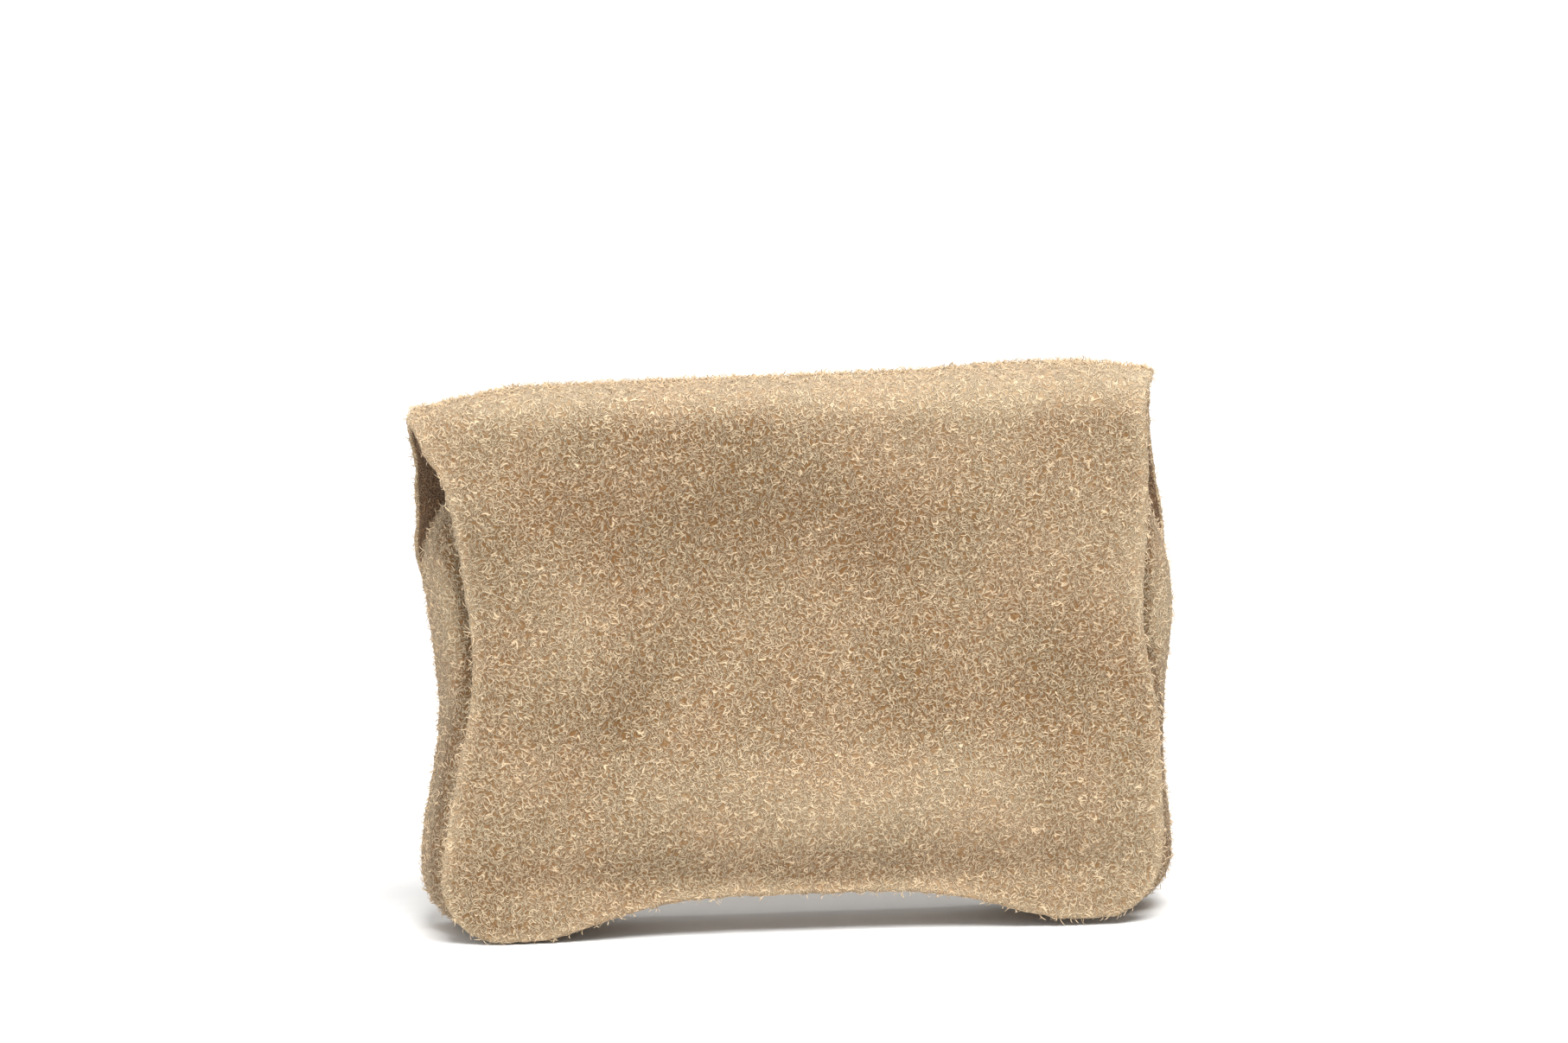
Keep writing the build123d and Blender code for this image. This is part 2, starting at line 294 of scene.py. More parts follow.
def outline(shape, inset, top_z, down, across):
    """Left, bottom and right edges in X and Z. They meet halfway round each bottom corner."""
    radius = shape.radius - inset
    corner = np.array([shape.hip - shape.radius, shape.base_z + shape.radius])
    z = np.linspace(top_z, corner[1], 160)
    side = np.stack([half_width(shape, z) - inset, z], axis=1)
    turn = np.radians(np.linspace(0, -45, 24))[1:]
    upper = corner + radius * np.stack([np.cos(turn), np.sin(turn)], axis=1)
    turn = np.radians(np.linspace(-45, -90, 24))
    lower = corner + radius * np.stack([np.cos(turn), np.sin(turn)], axis=1)
    foot = shape.hip - shape.radius - 4 * MM
    x = np.linspace(foot, -foot, 160)
    arch = shape.rise * (0.5 + 0.5 * np.cos(np.pi * (x / foot) ** 2))
    base = np.stack([x, shape.base_z + inset + arch], axis=1)
    mirror = np.array([-1.0, 1.0])
    right = resample(np.concatenate([side, upper]), down)
    bottom = resample(np.concatenate([lower, base, (lower * mirror)[::-1]]), across)[::-1]
    return right * mirror, bottom, right


def fill_between(left, bottom, right, top):
    """Grid of points inside four edges, rows running from the top to the bottom."""
    a = np.linspace(0, 1, len(top))[None, :, None]
    b = np.linspace(0, 1, len(left))[:, None, None]
    ruled = (1 - b) * top[None] + b * bottom[None] + (1 - a) * left[:, None] + a * right[:, None]
    corners = ((1 - a) * (1 - b) * top[0] + a * (1 - b) * top[-1]
               + (1 - a) * b * bottom[0] + a * b * bottom[-1])
    return ruled - corners


def panel_grid(shape, inset, top_z, down, across):
    left, bottom, right = outline(shape, inset, top_z, down, across)
    top = np.linspace(left[0], right[0], across + 1)
    return fill_between(left, bottom, right, top)


def grid_quads(rows, columns, start=0):
    """Quads of a grid of points, facing -Y when rows run down and columns run along +X."""
    index = start + np.arange(rows * columns).reshape(rows, columns)
    return np.stack([index[:-1, :-1], index[1:, :-1], index[1:, 1:], index[:-1, 1:]],
                    axis=-1).reshape(-1, 4)


# ---------------------------------------------------------------- solids from surfaces
def vertex_normals(points, quads):
    a, b, c, d = (points[quads[:, k]] for k in range(4))
    face = np.cross(c - a, d - b)
    normals = np.zeros_like(points)
    for k in range(4):
        np.add.at(normals, quads[:, k], face)
    return normals / np.maximum(np.linalg.norm(normals, axis=1, keepdims=True), 1e-12)


def open_edges(points, quads):
    """Edges with a face on one side only, in the direction of that face."""
    start = quads.reshape(-1)
    end = np.roll(quads, -1, axis=1).reshape(-1)
    size = len(points)
    single = ~np.isin(start * size + end, end * size + start)
    return start[single], end[single]


def thicken(points, quads, outer, inner, butt=None, steps=6):
    """A closed solid round a surface, with rounded edges. butt marks points with a flat edge."""
    normals = vertex_normals(points, quads)
    size = len(points)
    outer = np.broadcast_to(outer, size)
    inner = np.broadcast_to(inner, size)
    start, end = open_edges(points, quads)
    way = points[end] - points[start]
    outward = np.zeros_like(points)
    for which in (start, end):
        side = np.cross(way, normals[which])
        np.add.at(outward, which, side)
    outward /= np.maximum(np.linalg.norm(outward, axis=1, keepdims=True), 1e-12)
    if butt is not None:
        outward[butt] = 0.0
    rim = np.unique(start)
    place = np.full(size, -1)
    place[rim] = np.arange(len(rim))
    middle = ((outer - inner) / 2)[rim, None]
    half = ((outer + inner) / 2)[rim, None]
    layers = [points + normals * outer[:, None], points - normals * inner[:, None]]
    rings = [rim]
    count = 2 * size
    for step in range(1, steps):
        turn = math.pi * step / steps
        layers.append(points[rim] + normals[rim] * (middle + half * math.cos(turn))
                      + outward[rim] * half * math.sin(turn))
        rings.append(count + np.arange(len(rim)))
        count += len(rim)
    rings.append(rim + size)
    faces = [quads, quads[:, ::-1] + size]
    a, b = place[start], place[end]
    for upper, lower in zip(rings[:-1], rings[1:]):
        faces.append(np.stack([upper[b], upper[a], lower[a], lower[b]], axis=1))
    return np.concatenate(layers), np.concatenate(faces)


def tubes(paths, radii, sides):
    """Many closed tubes at once: paths is (tubes, points, 3) and radii is (tubes, points)."""
    total, points, _ = paths.shape
    along = np.gradient(paths, axis=1)
    along /= np.maximum(np.linalg.norm(along, axis=2, keepdims=True), 1e-12)
    helper = np.where(np.abs(along[..., 2:3]) < 0.8, [[[0.0, 0.0, 1.0]]], [[[1.0, 0.0, 0.0]]])
    across = np.cross(along, helper)
    across /= np.linalg.norm(across, axis=2, keepdims=True)
    up = np.cross(across, along)
    turn = 2 * np.pi * np.arange(sides) / sides
    ring = (across[:, :, None] * np.cos(turn)[:, None] + up[:, :, None] * np.sin(turn)[:, None])
    verts = paths[:, :, None] + ring * radii[:, :, None, None]
    index = np.arange(total * points * sides).reshape(total, points, sides)
    near = np.roll(index, -1, axis=2)
    walls = np.stack([index[:, :-1], near[:, :-1], near[:, 1:], index[:, 1:]], axis=-1)
    faces = walls[..., ::-1].reshape(-1, 4).tolist()
    faces += index[:, 0].tolist()
    faces += index[:, -1, ::-1].tolist()
    return verts.reshape(-1, 3), faces


def add_mesh(name, points, faces, material):
    mesh = bpy.data.meshes.new(name)
    if isinstance(faces, np.ndarray):
        faces = faces.tolist()
    mesh.from_pydata(points.tolist(), [], faces)
    mesh.polygons.foreach_set("use_smooth", [True] * len(mesh.polygons))
    mesh.materials.append(material)
    mesh.validate()
    piece = bpy.data.objects.new(name, mesh)
    bpy.context.scene.collection.objects.link(piece)
    return piece


# ---------------------------------------------------------------- how the soft pieces lie
FOLD_SPRING = 81.0 * MM     # height where the front and back start to turn over the top
FOLD_POWER = 2.5            # 2 is a round arch and more is boxier
FRONT_MID_Y = FLAP_LOW.y + SUEDE_THICK / 2
BACK_MID_Y = BACK_HIGH.y - SUEDE_THICK / 2
FOLD_MID_Y = (FRONT_MID_Y + BACK_MID_Y) / 2
FOLD_MID_Z = FOLD_HIGH.z - SUEDE_THICK / 2

# Heights in millimetres, from the way the flap has been pressed and worn.
FLAP_SWELLS = (
    Hill(2.4, (10, 21), (42, 10)),
    Hill(1.3, (-43, 62), (8, 24), 30),
    Hill(-2.7, (-14, 56), (32, 15)),
    Hill(-2.2, (-27, 37), (6, 20), -38),
    Hill(-1.2, (40, 36), (13, 11)),
    Hill(0.7, (34, 66), (17, 9)),
    Hill(-1.4, (0, 9), (60, 4)),
    Hill(0.5, (-49, 14), (9, 9)),
    Hill(-2.3, (-54, 34), (4.5, 30)),
    Hill(-1.8, (56, 42), (4.5, 28)),
)
POUCH_SWELLS = (
    Hill(0.9, (-34, 40), (14, 22)),
    Hill(0.9, (34, 40), (14, 22)),
    Hill(-0.5, (0, 50), (16, 10)),
)
BACK_SWELLS = (Hill(0.4, (-20, 50), (26, 18)), Hill(0.35, (26, 30), (22, 16)))
BACK_HOLLOW = 0.2 * MM

# Painted light, above 0, and painted shade, below 0, on the flap, lying over its lit and shaded
# slopes.
FLAP_PAINTED_LIGHT_AND_SHADE = (
    Hill(0.4, (6, 21), (44, 8)),
    Hill(0.1, (-42, 58), (7, 24), 30),
    Hill(-0.95, (-20, 68), (27, 13)),
    Hill(-0.55, (-27, 38), (6, 20), -38),
    Hill(-0.4, (40, 36), (12, 11)),
    Hill(-0.3, (0, 10), (58, 3.5)),
    Hill(-0.3, (-46, 40), (12, 26)),
    Hill(-0.4, (-46, 15), (12, 9)),
    Hill(0.5, (54, 70), (5, 22)),
    Hill(0.65, (2, 7.5), (42, 3)),
    Hill(-0.5, (16, 38), (44, 10)),
    Hill(-0.3, (12, 61), (13, 9)),
)
FOLD_TOP_PAINTED_LIGHT = 1.5         # painted light on the top of the fold, where the top light falls
PAINTED_SHADOW_LINE = 1.5          # painted shadow line on the pouch beside the flap's edge
# Painted light, lightening the pouch's upper part.
POUCH_PAINTED_LIGHT = 0.45
# Pale band at the flap's cut edges: partly the raw edge's paleness, partly painted bounce light.
EDGE_PALENESS_AND_PAINTED_LIGHT = 0.9
EDGE_BAND = 1.4 * MM

# How far the soft top has settled, in millimetres.
CORNER_DROOP = 3.0
FOLD_TILT = 1.1
TOP_SHIFT = 1.9
CORNER_FLARE = 3.3
FLAP_SWING = 0.9
RIGHT_BULGE = 1.1


def near_snap(x, z, reach):
    """1 at the snap, falling to 0 at reach from its centre."""
    distance = np.hypot(x - SNAP_X, z - SNAP_Z)
    return ease(1.6 - 1.6 * distance / reach)


def flap_relief(x, z):
    """How far the flap stands proud of its flat plane."""
    return hills(x, z, FLAP_SWELLS) * MM


# Painted light and shade on the flap, with painted light on the top of the fold.
def flap_painted_light_and_shade(x, z):
    return hills(x, z, FLAP_PAINTED_LIGHT_AND_SHADE) + FOLD_TOP_PAINTED_LIGHT * climb(z, 80.5, 86.5)


def pouch_painted_light_and_shadow(points):
    """Painted light on the pouch's upper part, and a painted shadow line on its front beside the
    flap's edge.
    """
    x, y, z = points.T
    past_flap = np.abs(x) - half_width(flap_shape(), z)
    painted_shadow = PAINTED_SHADOW_LINE * ridge(past_flap, 0.8, 0.9) * climb(z, 4, 12) * (y < 0)
    return POUCH_PAINTED_LIGHT * climb(z, 26, 51) - painted_shadow


def edge_paleness_and_painted_light(count, columns, step):
    """Pale band along the cut sides and bottom of a sheet whose grid starts at its top: partly the
    raw edge's own paleness, partly painted bounce light from the floor.
    """
    row, column = np.divmod(np.arange(count), columns)
    rows = count // columns
    edge = np.minimum(np.minimum(column, columns - 1 - column), rows - 1 - row) * step
    return EDGE_PALENESS_AND_PAINTED_LIGHT * np.exp(-(edge / EDGE_BAND) ** 2)


def pouch_relief(x, z):
    """Slight swell of the pouch's front, level where the snap is set."""
    return hills(x, z, POUCH_SWELLS) * MM * (1 - near_snap(x, z, 16 * MM))


def slump(points):
    """How the soft top has settled: its left corner droops, and the flap hangs a little askew."""
    x, y, z = points.T
    top = climb(z, 60, 88)
    front = ease((FOLD_MID_Y - y) / (7 * MM))
    corner = climb(-x, 40, 62)
    rise = 0.7 * ridge(x, 40, 13) - 1.1 * climb(x, 48, 58)
    drop = top * (CORNER_DROOP * corner - rise - FOLD_TILT * x / (60 * MM))
    sag = front * (1 - climb(z, 20, 80)) * (0.1 * climb(-x, 0, 50) - 0.8 * climb(x, 0, 50))
    flare = CORNER_FLARE * front * corner * ridge(np.minimum(z, 82 * MM), 82, 3.4)
    swing = FLAP_SWING * (ridge(z, 40, 13) + climb(z, 2, 24) - 1)
    left = climb(-x, 0, 40)
    left_swell = 0.9 * ridge(z, 46, 8) + 0.8 * ridge(z, 78, 5.5) - ridge(z, 61, 5)
    swell = 0.7 * ridge(z, 46, 20) - 0.8 * (1 - left) * ridge(z, 74, 9) + left * left_swell
    bulge = RIGHT_BULGE * climb(x, 20, 50) * ridge(z, 33, 9)
    shift = front * swing + (1 - front) * swell - flare + bulge - TOP_SHIFT * top
    return np.stack([x + shift * MM, y, z - (drop + sag) * MM], axis=1)


def fold_profile(side_y, rows):
    """From the middle of the fold down to where a side hangs straight, in Y and Z."""
    turn = np.linspace(0, math.pi / 2, 200)
    power = 2 / FOLD_POWER
    y = FOLD_MID_Y + (side_y - FOLD_MID_Y) * np.sin(turn) ** power
    z = FOLD_SPRING + (FOLD_MID_Z - FOLD_SPRING) * np.cos(turn) ** power
    return resample(np.stack([y, z], axis=1), rows)


def hanging(z):
    """0 at the fold and 1 where a side hangs clear of it."""
    return ease((FOLD_SPRING - z) / (14 * MM))


def draped_grid(shape, side_y, inset, step, relief):
    """Surface from the middle of the fold, over the top and down one side."""
    fold_rows = int(round(13 * MM / step))
    down = int(round(84 * MM / step))
    across = int(round(118 * MM / step))
    panel = panel_grid(shape, inset, FOLD_SPRING, down, across)
    rows = fold_profile(side_y, fold_rows)[:-1]
    shares = np.linspace(0, 1, fold_rows + 1)[:-1]
    top_half = FLAP_HIGH.x + 0.2 * MM - inset
    spring_half = panel[0, -1, 0]
    fold = np.zeros((fold_rows, across + 1, 3))
    for index, (row, share) in enumerate(zip(rows, shares)):
        half = top_half + (spring_half - top_half) * ease(share)
        fold[index, :, 0] = np.linspace(-half, half, across + 1)
        fold[index, :, 1:] = row
    side = np.zeros((down + 1, across + 1, 3))
    side[..., 0] = panel[..., 0]
    side[..., 2] = panel[..., 1]
    proud = relief(side[..., 0], side[..., 2]) * hanging(side[..., 2])
    side[..., 1] = side_y + math.copysign(1, side_y) * proud
    grid = np.concatenate([fold, side])
    rows, columns = grid.shape[:2]
    quads = grid_quads(rows, columns)
    if side_y > 0:
        quads = quads[:, ::-1]
    butt = np.zeros(rows * columns, bool)
    butt[:columns] = True
    return slump(grid.reshape(-1, 3)), quads, butt


def draped_cut(shape, side_y, inset):
    """Width and length that such a surface is cut to before it is folded."""
    bend = np.linalg.norm(np.diff(fold_profile(side_y, 40), axis=0), axis=1).sum()
    return 2 * (shape.hip - inset), FOLD_SPRING - shape.base_z - inset + bend


def no_relief(x, z):
    return np.zeros_like(x)


def back_relief(x, z):
    return hills(x, z, BACK_SWELLS) * MM - BACK_HOLLOW


def above_floor(points):
    """The same points with none below the surface that the wallet stands on."""
    return np.stack([points[:, 0], points[:, 1], np.maximum(points[:, 2], FLOOR_Z)], axis=1)


COARSE_NAP = 430            # lumps per metre
FINE_NAP = 950


def raise_nap(points, normals, height, keep=None):
    """Small lumps of the napped surface, finer on top of coarser."""
    lift = np.empty(len(points))
    for index, point in enumerate(points):
        coarse = noise.noise(Vector(point) * COARSE_NAP)
        fine = noise.noise(Vector(point) * FINE_NAP)
        lift[index] = 0.6 * coarse + 0.55 * fine
    lift = lift * height
    if keep is not None:
        lift = lift * keep
    return above_floor(points + normals * lift[:, None])


# ---------------------------------------------------------------- materials
def feed(tree, node, values):
    """Links each named socket to another socket, or sets it to a constant."""
    for key, value in values.items():
        if isinstance(value, bpy.types.NodeSocket):
            tree.links.new(value, node.inputs[key])
        else:
            node.inputs[key].default_value = value


def add_node(tree, kind, inputs=None, **settings):
    node = tree.nodes.new(kind)
    for key, value in settings.items():
        setattr(node, key, value)
    feed(tree, node, inputs or {})
    return node


def new_material(name):
    """A material with its tree, its shader and the place on the object that it is shading."""
    material = bpy.data.materials.new(name)
    material.use_nodes = True
    tree = material.node_tree
    tree.nodes.clear()
    shader = add_node(tree, "ShaderNodeBsdfPrincipled")
    add_node(tree, "ShaderNodeOutputMaterial", {"Surface": shader.outputs["BSDF"]})
    return material, tree, shader, add_node(tree, "ShaderNodeTexCoord").outputs["Object"]


def add_bump(tree, shader, height, strength, distance):
    bump = add_node(tree, "ShaderNodeBump", {
        "Strength": strength, "Distance": distance, "Height": height})
    feed(tree, shader, {"Normal": bump.outputs["Normal"]})


def maths(tree, operation, *values):
    return add_node(tree, "ShaderNodeMath", dict(enumerate(values)), operation=operation).outputs[0]


def vector_maths(tree, operation, *values):
    node = add_node(tree, "ShaderNodeVectorMath", dict(enumerate(values)), operation=operation)
    return node.outputs[0]


def noise_field(tree, place, scale, detail=1.0, distortion=0.0, offset=(0.0, 0.0, 0.0)):
    """Noise through the solid, moved by offset so that layers differ."""
    node = add_node(tree, "ShaderNodeTexNoise", {
        "Vector": vector_maths(tree, "ADD", place, offset), "Scale": scale, "Detail": detail,
        "Roughness": 0.5, "Distortion": distortion})
    return node.outputs["Fac"]


def ramp_between(tree, value, low, high):
    """0 below low and 1 above high, smooth between. low may be above high."""
    node = add_node(tree, "ShaderNodeMapRange", {"Value": value, "From Min": low, "From Max": high},
                    interpolation_type="SMOOTHSTEP")
    return node.outputs["Result"]


def mix_colours(tree, share, first, second, blend="MIX"):
    """first where share is 0 and second where it is 1."""
    low, high = (end if isinstance(end, bpy.types.NodeSocket) else (*end, 1.0)
                 for end in (first, second))
    node = add_node(tree, "ShaderNodeMix", {0: share, 6: low, 7: high},
                    data_type="RGBA", blend_type=blend)
    return node.outputs[2]


def scaled(colour, factor):
    return tuple(channel * factor for channel in colour)


def lay_flat(tree, place, facing):
    """Two coordinates along the surface: front view, side view or plan, whichever it faces most."""
    x, y, z = add_node(tree, "ShaderNodeSeparateXYZ", {0: place}).outputs
    turned = add_node(tree, "ShaderNodeSeparateXYZ", {0: facing})
    ax, ay, az = (maths(tree, "ABSOLUTE", axis) for axis in turned.outputs)
    side = maths(tree, "GREATER_THAN", ax, maths(tree, "MAXIMUM", ay, az))
    top = maths(tree, "GREATER_THAN", az, maths(tree, "MAXIMUM", ax, ay))
    across = maths(tree, "MULTIPLY_ADD", maths(tree, "SUBTRACT", y, x), side, x)
    up = maths(tree, "MULTIPLY_ADD", maths(tree, "SUBTRACT", y, z), top, z)
    return add_node(tree, "ShaderNodeCombineXYZ", {0: across, 1: up}).outputs[0]


def curl_layer(tree, flat, spacing, length, width, offset):
    """Short bent fibres lying every way: one in each cell of a scatter of cells."""
    moved = vector_maths(tree, "ADD", flat, (offset, offset * 1.7, 0.0))
    cells = add_node(tree, "ShaderNodeTexVoronoi", voronoi_dimensions="2D", feature="F1")
    feed(tree, cells, {"Vector": moved, "Scale": 1 / spacing})
    apart = vector_maths(tree, "SUBTRACT", moved, cells.outputs["Position"])
    x, y, _ = add_node(tree, "ShaderNodeSeparateXYZ", {0: apart}).outputs
    chance = add_node(tree, "ShaderNodeSeparateColor", {0: cells.outputs["Color"]}).outputs
    angle = maths(tree, "MULTIPLY", chance[0], 2 * math.pi)
    sine = maths(tree, "SINE", angle)
    cosine = maths(tree, "COSINE", angle)
    along = maths(tree, "MULTIPLY_ADD", x, cosine, maths(tree, "MULTIPLY", y, sine))
    across = maths(tree, "SUBTRACT", maths(tree, "MULTIPLY", y, cosine),
                   maths(tree, "MULTIPLY", x, sine))
    bend = maths(tree, "MULTIPLY", maths(tree, "SUBTRACT", chance[1], 0.5), CURL_BEND / length)
    across = maths(tree, "MULTIPLY_ADD", maths(tree, "MULTIPLY", along, along), bend, across)
    body = ramp_between(tree, maths(tree, "ABSOLUTE", across), width, 0.0)
    ends = ramp_between(tree, maths(tree, "ABSOLUTE", along), length, length * 0.55)
    lift = maths(tree, "MULTIPLY_ADD", chance[2], 0.55, 0.45)
    return maths(tree, "MULTIPLY", maths(tree, "MULTIPLY", body, ends), lift)


CURL_BEND = 2.4
CURL_LAYERS = (             # spacing, length and width in millimetres, and an offset
    (1.35, 0.75, 0.22, 0.013),
    (1.15, 0.65, 0.20, 0.041),
    (1.00, 0.58, 0.18, 0.067),
    (0.85, 0.50, 0.17, 0.093),
    (0.72, 0.42, 0.15, 0.121),
)
WANDER = 1.3 * MM           # how far the fibres' places are shuffled
LAY_AND_PAINTED_LIGHT_STRENGTH = 0.16         # how much the stored lay, with its painted light and shade, lightens or darkens the nap


def suede_material(name, tip, root_shade, fibre):
    """Napped suede: pale curled fibres over roots darkened as painted shade between them, brushed
    lighter and darker in random patches, and shifted by the stored painted light and shade.
    """
    material, tree, shader, place = new_material(name)
    bend = add_node(tree, "ShaderNodeTexNoise", {"Vector": place, "Scale": 520.0, "Detail": 0.0})
    wander = vector_maths(tree, "MULTIPLY_ADD", bend.outputs["Color"], (WANDER,) * 3, place)
    facing = add_node(tree, "ShaderNodeTexCoord").outputs["Normal"]
    flat = lay_flat(tree, wander, facing)
    curls = None
    for *measures, offset in CURL_LAYERS:
        layer = curl_layer(tree, flat, *(value * MM * fibre for value in measures), offset)
        curls = layer if curls is None else maths(tree, "MAXIMUM", curls, layer)
    grain = noise_field(tree, place, 1900.0)
    pile = maths(tree, "MULTIPLY_ADD", curls, 0.75, maths(tree, "MULTIPLY", grain, 0.35))
    patches = noise_field(tree, place, 62.0, 2.0, 0.3, (0.2, 0.1, 0.3))
    wide = noise_field(tree, place, 21.0, 1.0, 0.0, (0.5, 0.4, 0.1))
    brushed = maths(tree, "ADD", maths(tree, "MULTIPLY", patches, 0.28),
                    maths(tree, "MULTIPLY", wide, 0.18))
    share = maths(tree, "ADD", pile, maths(tree, "SUBTRACT", brushed, 0.23))
    # Painted light and shade, read from the stored attribute, shifts the nap's colour.
    lay_and_painted_light = add_node(tree, "ShaderNodeAttribute", attribute_name=NAP_LAY_AND_PAINTED_LIGHT)
    share = maths(tree, "MULTIPLY_ADD", lay_and_painted_light.outputs["Fac"], LAY_AND_PAINTED_LIGHT_STRENGTH, share)
    middle = tuple(0.58 * a + 0.42 * b for a, b in zip(root_shade, tip))
    colour = mix_colours(tree, ramp_between(tree, share, 0.04, 0.45), root_shade, middle)
    colour = mix_colours(tree, ramp_between(tree, share, 0.46, 0.78), colour, tip)
    hue = noise_field(tree, place, 75.0, 2.0, 0.4, (0.7, 0.2, 0.6))
    tint = mix_colours(tree, ramp_between(tree, hue, 0.36, 0.64),
                       (0.99, 1.003, 1.005), (1.022, 0.992, 0.975))
    feed(tree, shader, {
        "Base Color": mix_colours(tree, 1.0, colour, tint, "MULTIPLY"),
        "Roughness": maths(tree, "MULTIPLY_ADD", grain, 0.1, 0.86),
        "Specular IOR Level": 0.15, "Sheen Weight": 0.22, "Sheen Roughness": 0.5,
        "Sheen Tint": (1.0, 0.93, 0.82, 1.0)})
    add_bump(tree, shader, pile, 1.0, 0.6 * MM)
    return material


def fibre_material(name, tip):
    """Single loose fibres, slightly lighter and darker from one to the next."""
    material, tree, shader, place = new_material(name)
    change = ramp_between(tree, noise_field(tree, place, 700.0), 0.35, 0.65)
    feed(tree, shader, {
        "Base Color": mix_colours(tree, change, scaled(tip, 0.72), tip),
        "Roughness": 0.8, "Specular IOR Level": 0.15, "Sheen Weight": 0.3})
    return material


def weave_height(tree, place, pitch):
    """Plain weave from two sets of threads, read from X with Y, and from Z."""
    x, y, z = add_node(tree, "ShaderNodeSeparateXYZ", {0: place}).outputs
    turn = 2 * math.pi / pitch
    warp = maths(tree, "SINE", maths(tree, "MULTIPLY", maths(tree, "ADD", x, y), turn))
    weft = maths(tree, "SINE", maths(tree, "MULTIPLY", z, turn))
    over = ramp_between(tree, maths(tree, "MULTIPLY", warp, weft), -0.25, 0.25)
    lower = maths(tree, "MULTIPLY", maths(tree, "ABSOLUTE", weft),
                  maths(tree, "SUBTRACT", 1.0, over))
    return maths(tree, "MULTIPLY_ADD", maths(tree, "ABSOLUTE", warp), over, lower)


def cotton_material(name, colour):
    material, tree, shader, place = new_material(name)
    slub = noise_field(tree, place, 320.0, 2.0)
    share = maths(tree, "MULTIPLY_ADD", weave_height(tree, place, 0.9 * MM), 0.6,
                  maths(tree, "MULTIPLY", slub, 0.4))
    feed(tree, shader, {
        "Base Color": mix_colours(tree, ramp_between(tree, share, 0.1, 0.8),
                                  scaled(colour, 0.62), colour),
        "Roughness": 0.9, "Sheen Weight": 0.2})
    add_bump(tree, shader, share, 0.5, 0.15 * MM)
    return material


def thread_material(name, colour):
    material, tree, shader, place = new_material(name)
    fibres = noise_field(tree, place, 2400.0, 2.0)
    feed(tree, shader, {
        "Base Color": mix_colours(tree, ramp_between(tree, fibres, 0.3, 0.7),
                                  scaled(colour, 0.6), colour),
        "Roughness": 0.6, "Sheen Weight": 0.25})
    add_bump(tree, shader, fibres, 0.4, 0.05 * MM)
    return material


def metal_material(name, colour, roughness, scratch):
    material, tree, shader, place = new_material(name)
    cloud = noise_field(tree, place, 420.0, 3.0)
    feed(tree, shader, {
        "Base Color": mix_colours(tree, ramp_between(tree, cloud, 0.3, 0.75),
                                  scaled(colour, 0.9), colour),
        "Roughness": maths(tree, "MULTIPLY_ADD", cloud, scratch, roughness), "Metallic": 1.0})
    add_bump(tree, shader, cloud, 0.1, 0.01 * MM)
    return material


def felt_material(name, colour):
    material, tree, shader, place = new_material(name)
    fuzz = noise_field(tree, place, 1500.0, 3.0, 0.8)
    feed(tree, shader, {
        "Base Color": mix_colours(tree, ramp_between(tree, fuzz, 0.35, 0.7),
                                  colour, scaled(colour, 1.6)),
        "Roughness": 0.95})
    return material


def finish_of(key, make, *values):
    """One shared material for each finish."""
    known = bpy.data.materials.get(key)
    return known if known else make(key, *values)


OUTER_FIBRE = 0.92          # size of the fibres, against the layers' own measures
INNER_FIBRE = 0.8


def outer_suede():
    c = colours()
    tip, root_shade = tuple(c.suede_tip), tuple(c.suede_root_shade)
    return finish_of("napped_suede", suede_material, tip, root_shade, OUTER_FIBRE)


# The flesh side's finish, in colours darkened as painted shade.
def shaded_inner_suede():
    c = colours()
    tip, root_shade = tuple(c.inside_tip_shaded), tuple(c.inside_root_shaded)
    return finish_of("flesh_side_suede", suede_material, tip, root_shade, INNER_FIBRE)


# ---------------------------------------------------------------- pieces
CUT_EDGE_LAY = 1.2
CUT_EDGE_ROUGHNESS = 2.0
FACING_STEP = 1.3 * MM
FACING_INSET = 1.5 * MM
FACING_GAP = 0.08 * MM
FACING_ROWS = 12            # rows of the grid that the fold's facing covers
COTTON_THICK = 0.4 * MM


def blend_over_front(piece):
    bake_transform(piece)


def blend_over_back(piece):
    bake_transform(piece)


def suede_solid(points, quads, butt, thick):
    """A suede sheet as a closed solid whose faces and cut edges carry the nap."""
    verts, faces = thicken(points, quads, thick / 2, thick / 2, butt)
    normals = vertex_normals(verts, faces)
    rough = np.ones(len(verts))
    rough[2 * len(points):] = CUT_EDGE_ROUGHNESS
    return raise_nap(verts, normals, sizes().nap, rough), faces


def store_lay_and_painted_light(piece, count, lay_and_painted_light):
    """Stores the outer face's painted light and shade, pale on the cut edges, none inside."""
    values = np.full(len(piece.data.vertices), CUT_EDGE_LAY)
    values[:count] = lay_and_painted_light
    values[count:2 * count] = 0.0
    attribute = piece.data.attributes.new(NAP_LAY_AND_PAINTED_LIGHT, "FLOAT", "POINT")
    attribute.data.foreach_set("value", values)


def build_back():
    """Back panel and the back half of the fold, in one sheet of suede."""
    grid, quads, butt = draped_grid(
        back_shape(), BACK_MID_Y, SUEDE_THICK / 2, sizes().grain, back_relief)
    verts, faces = suede_solid(grid, quads, butt, SUEDE_THICK)
    piece = add_mesh("back_and_fold_suede", verts, faces, outer_suede())
    # Painted light on the top of the fold, where the top light falls.
    store_lay_and_painted_light(piece, len(grid), 0.8 * climb(grid[:, 2], 82, 88))
    paint_inside(piece, len(grid), shaded_inner_suede())
    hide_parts("back_panel", "fold_outer")
    draped_cut(back_shape(), BACK_MID_Y, 0.0)
    blend_over_back(piece)


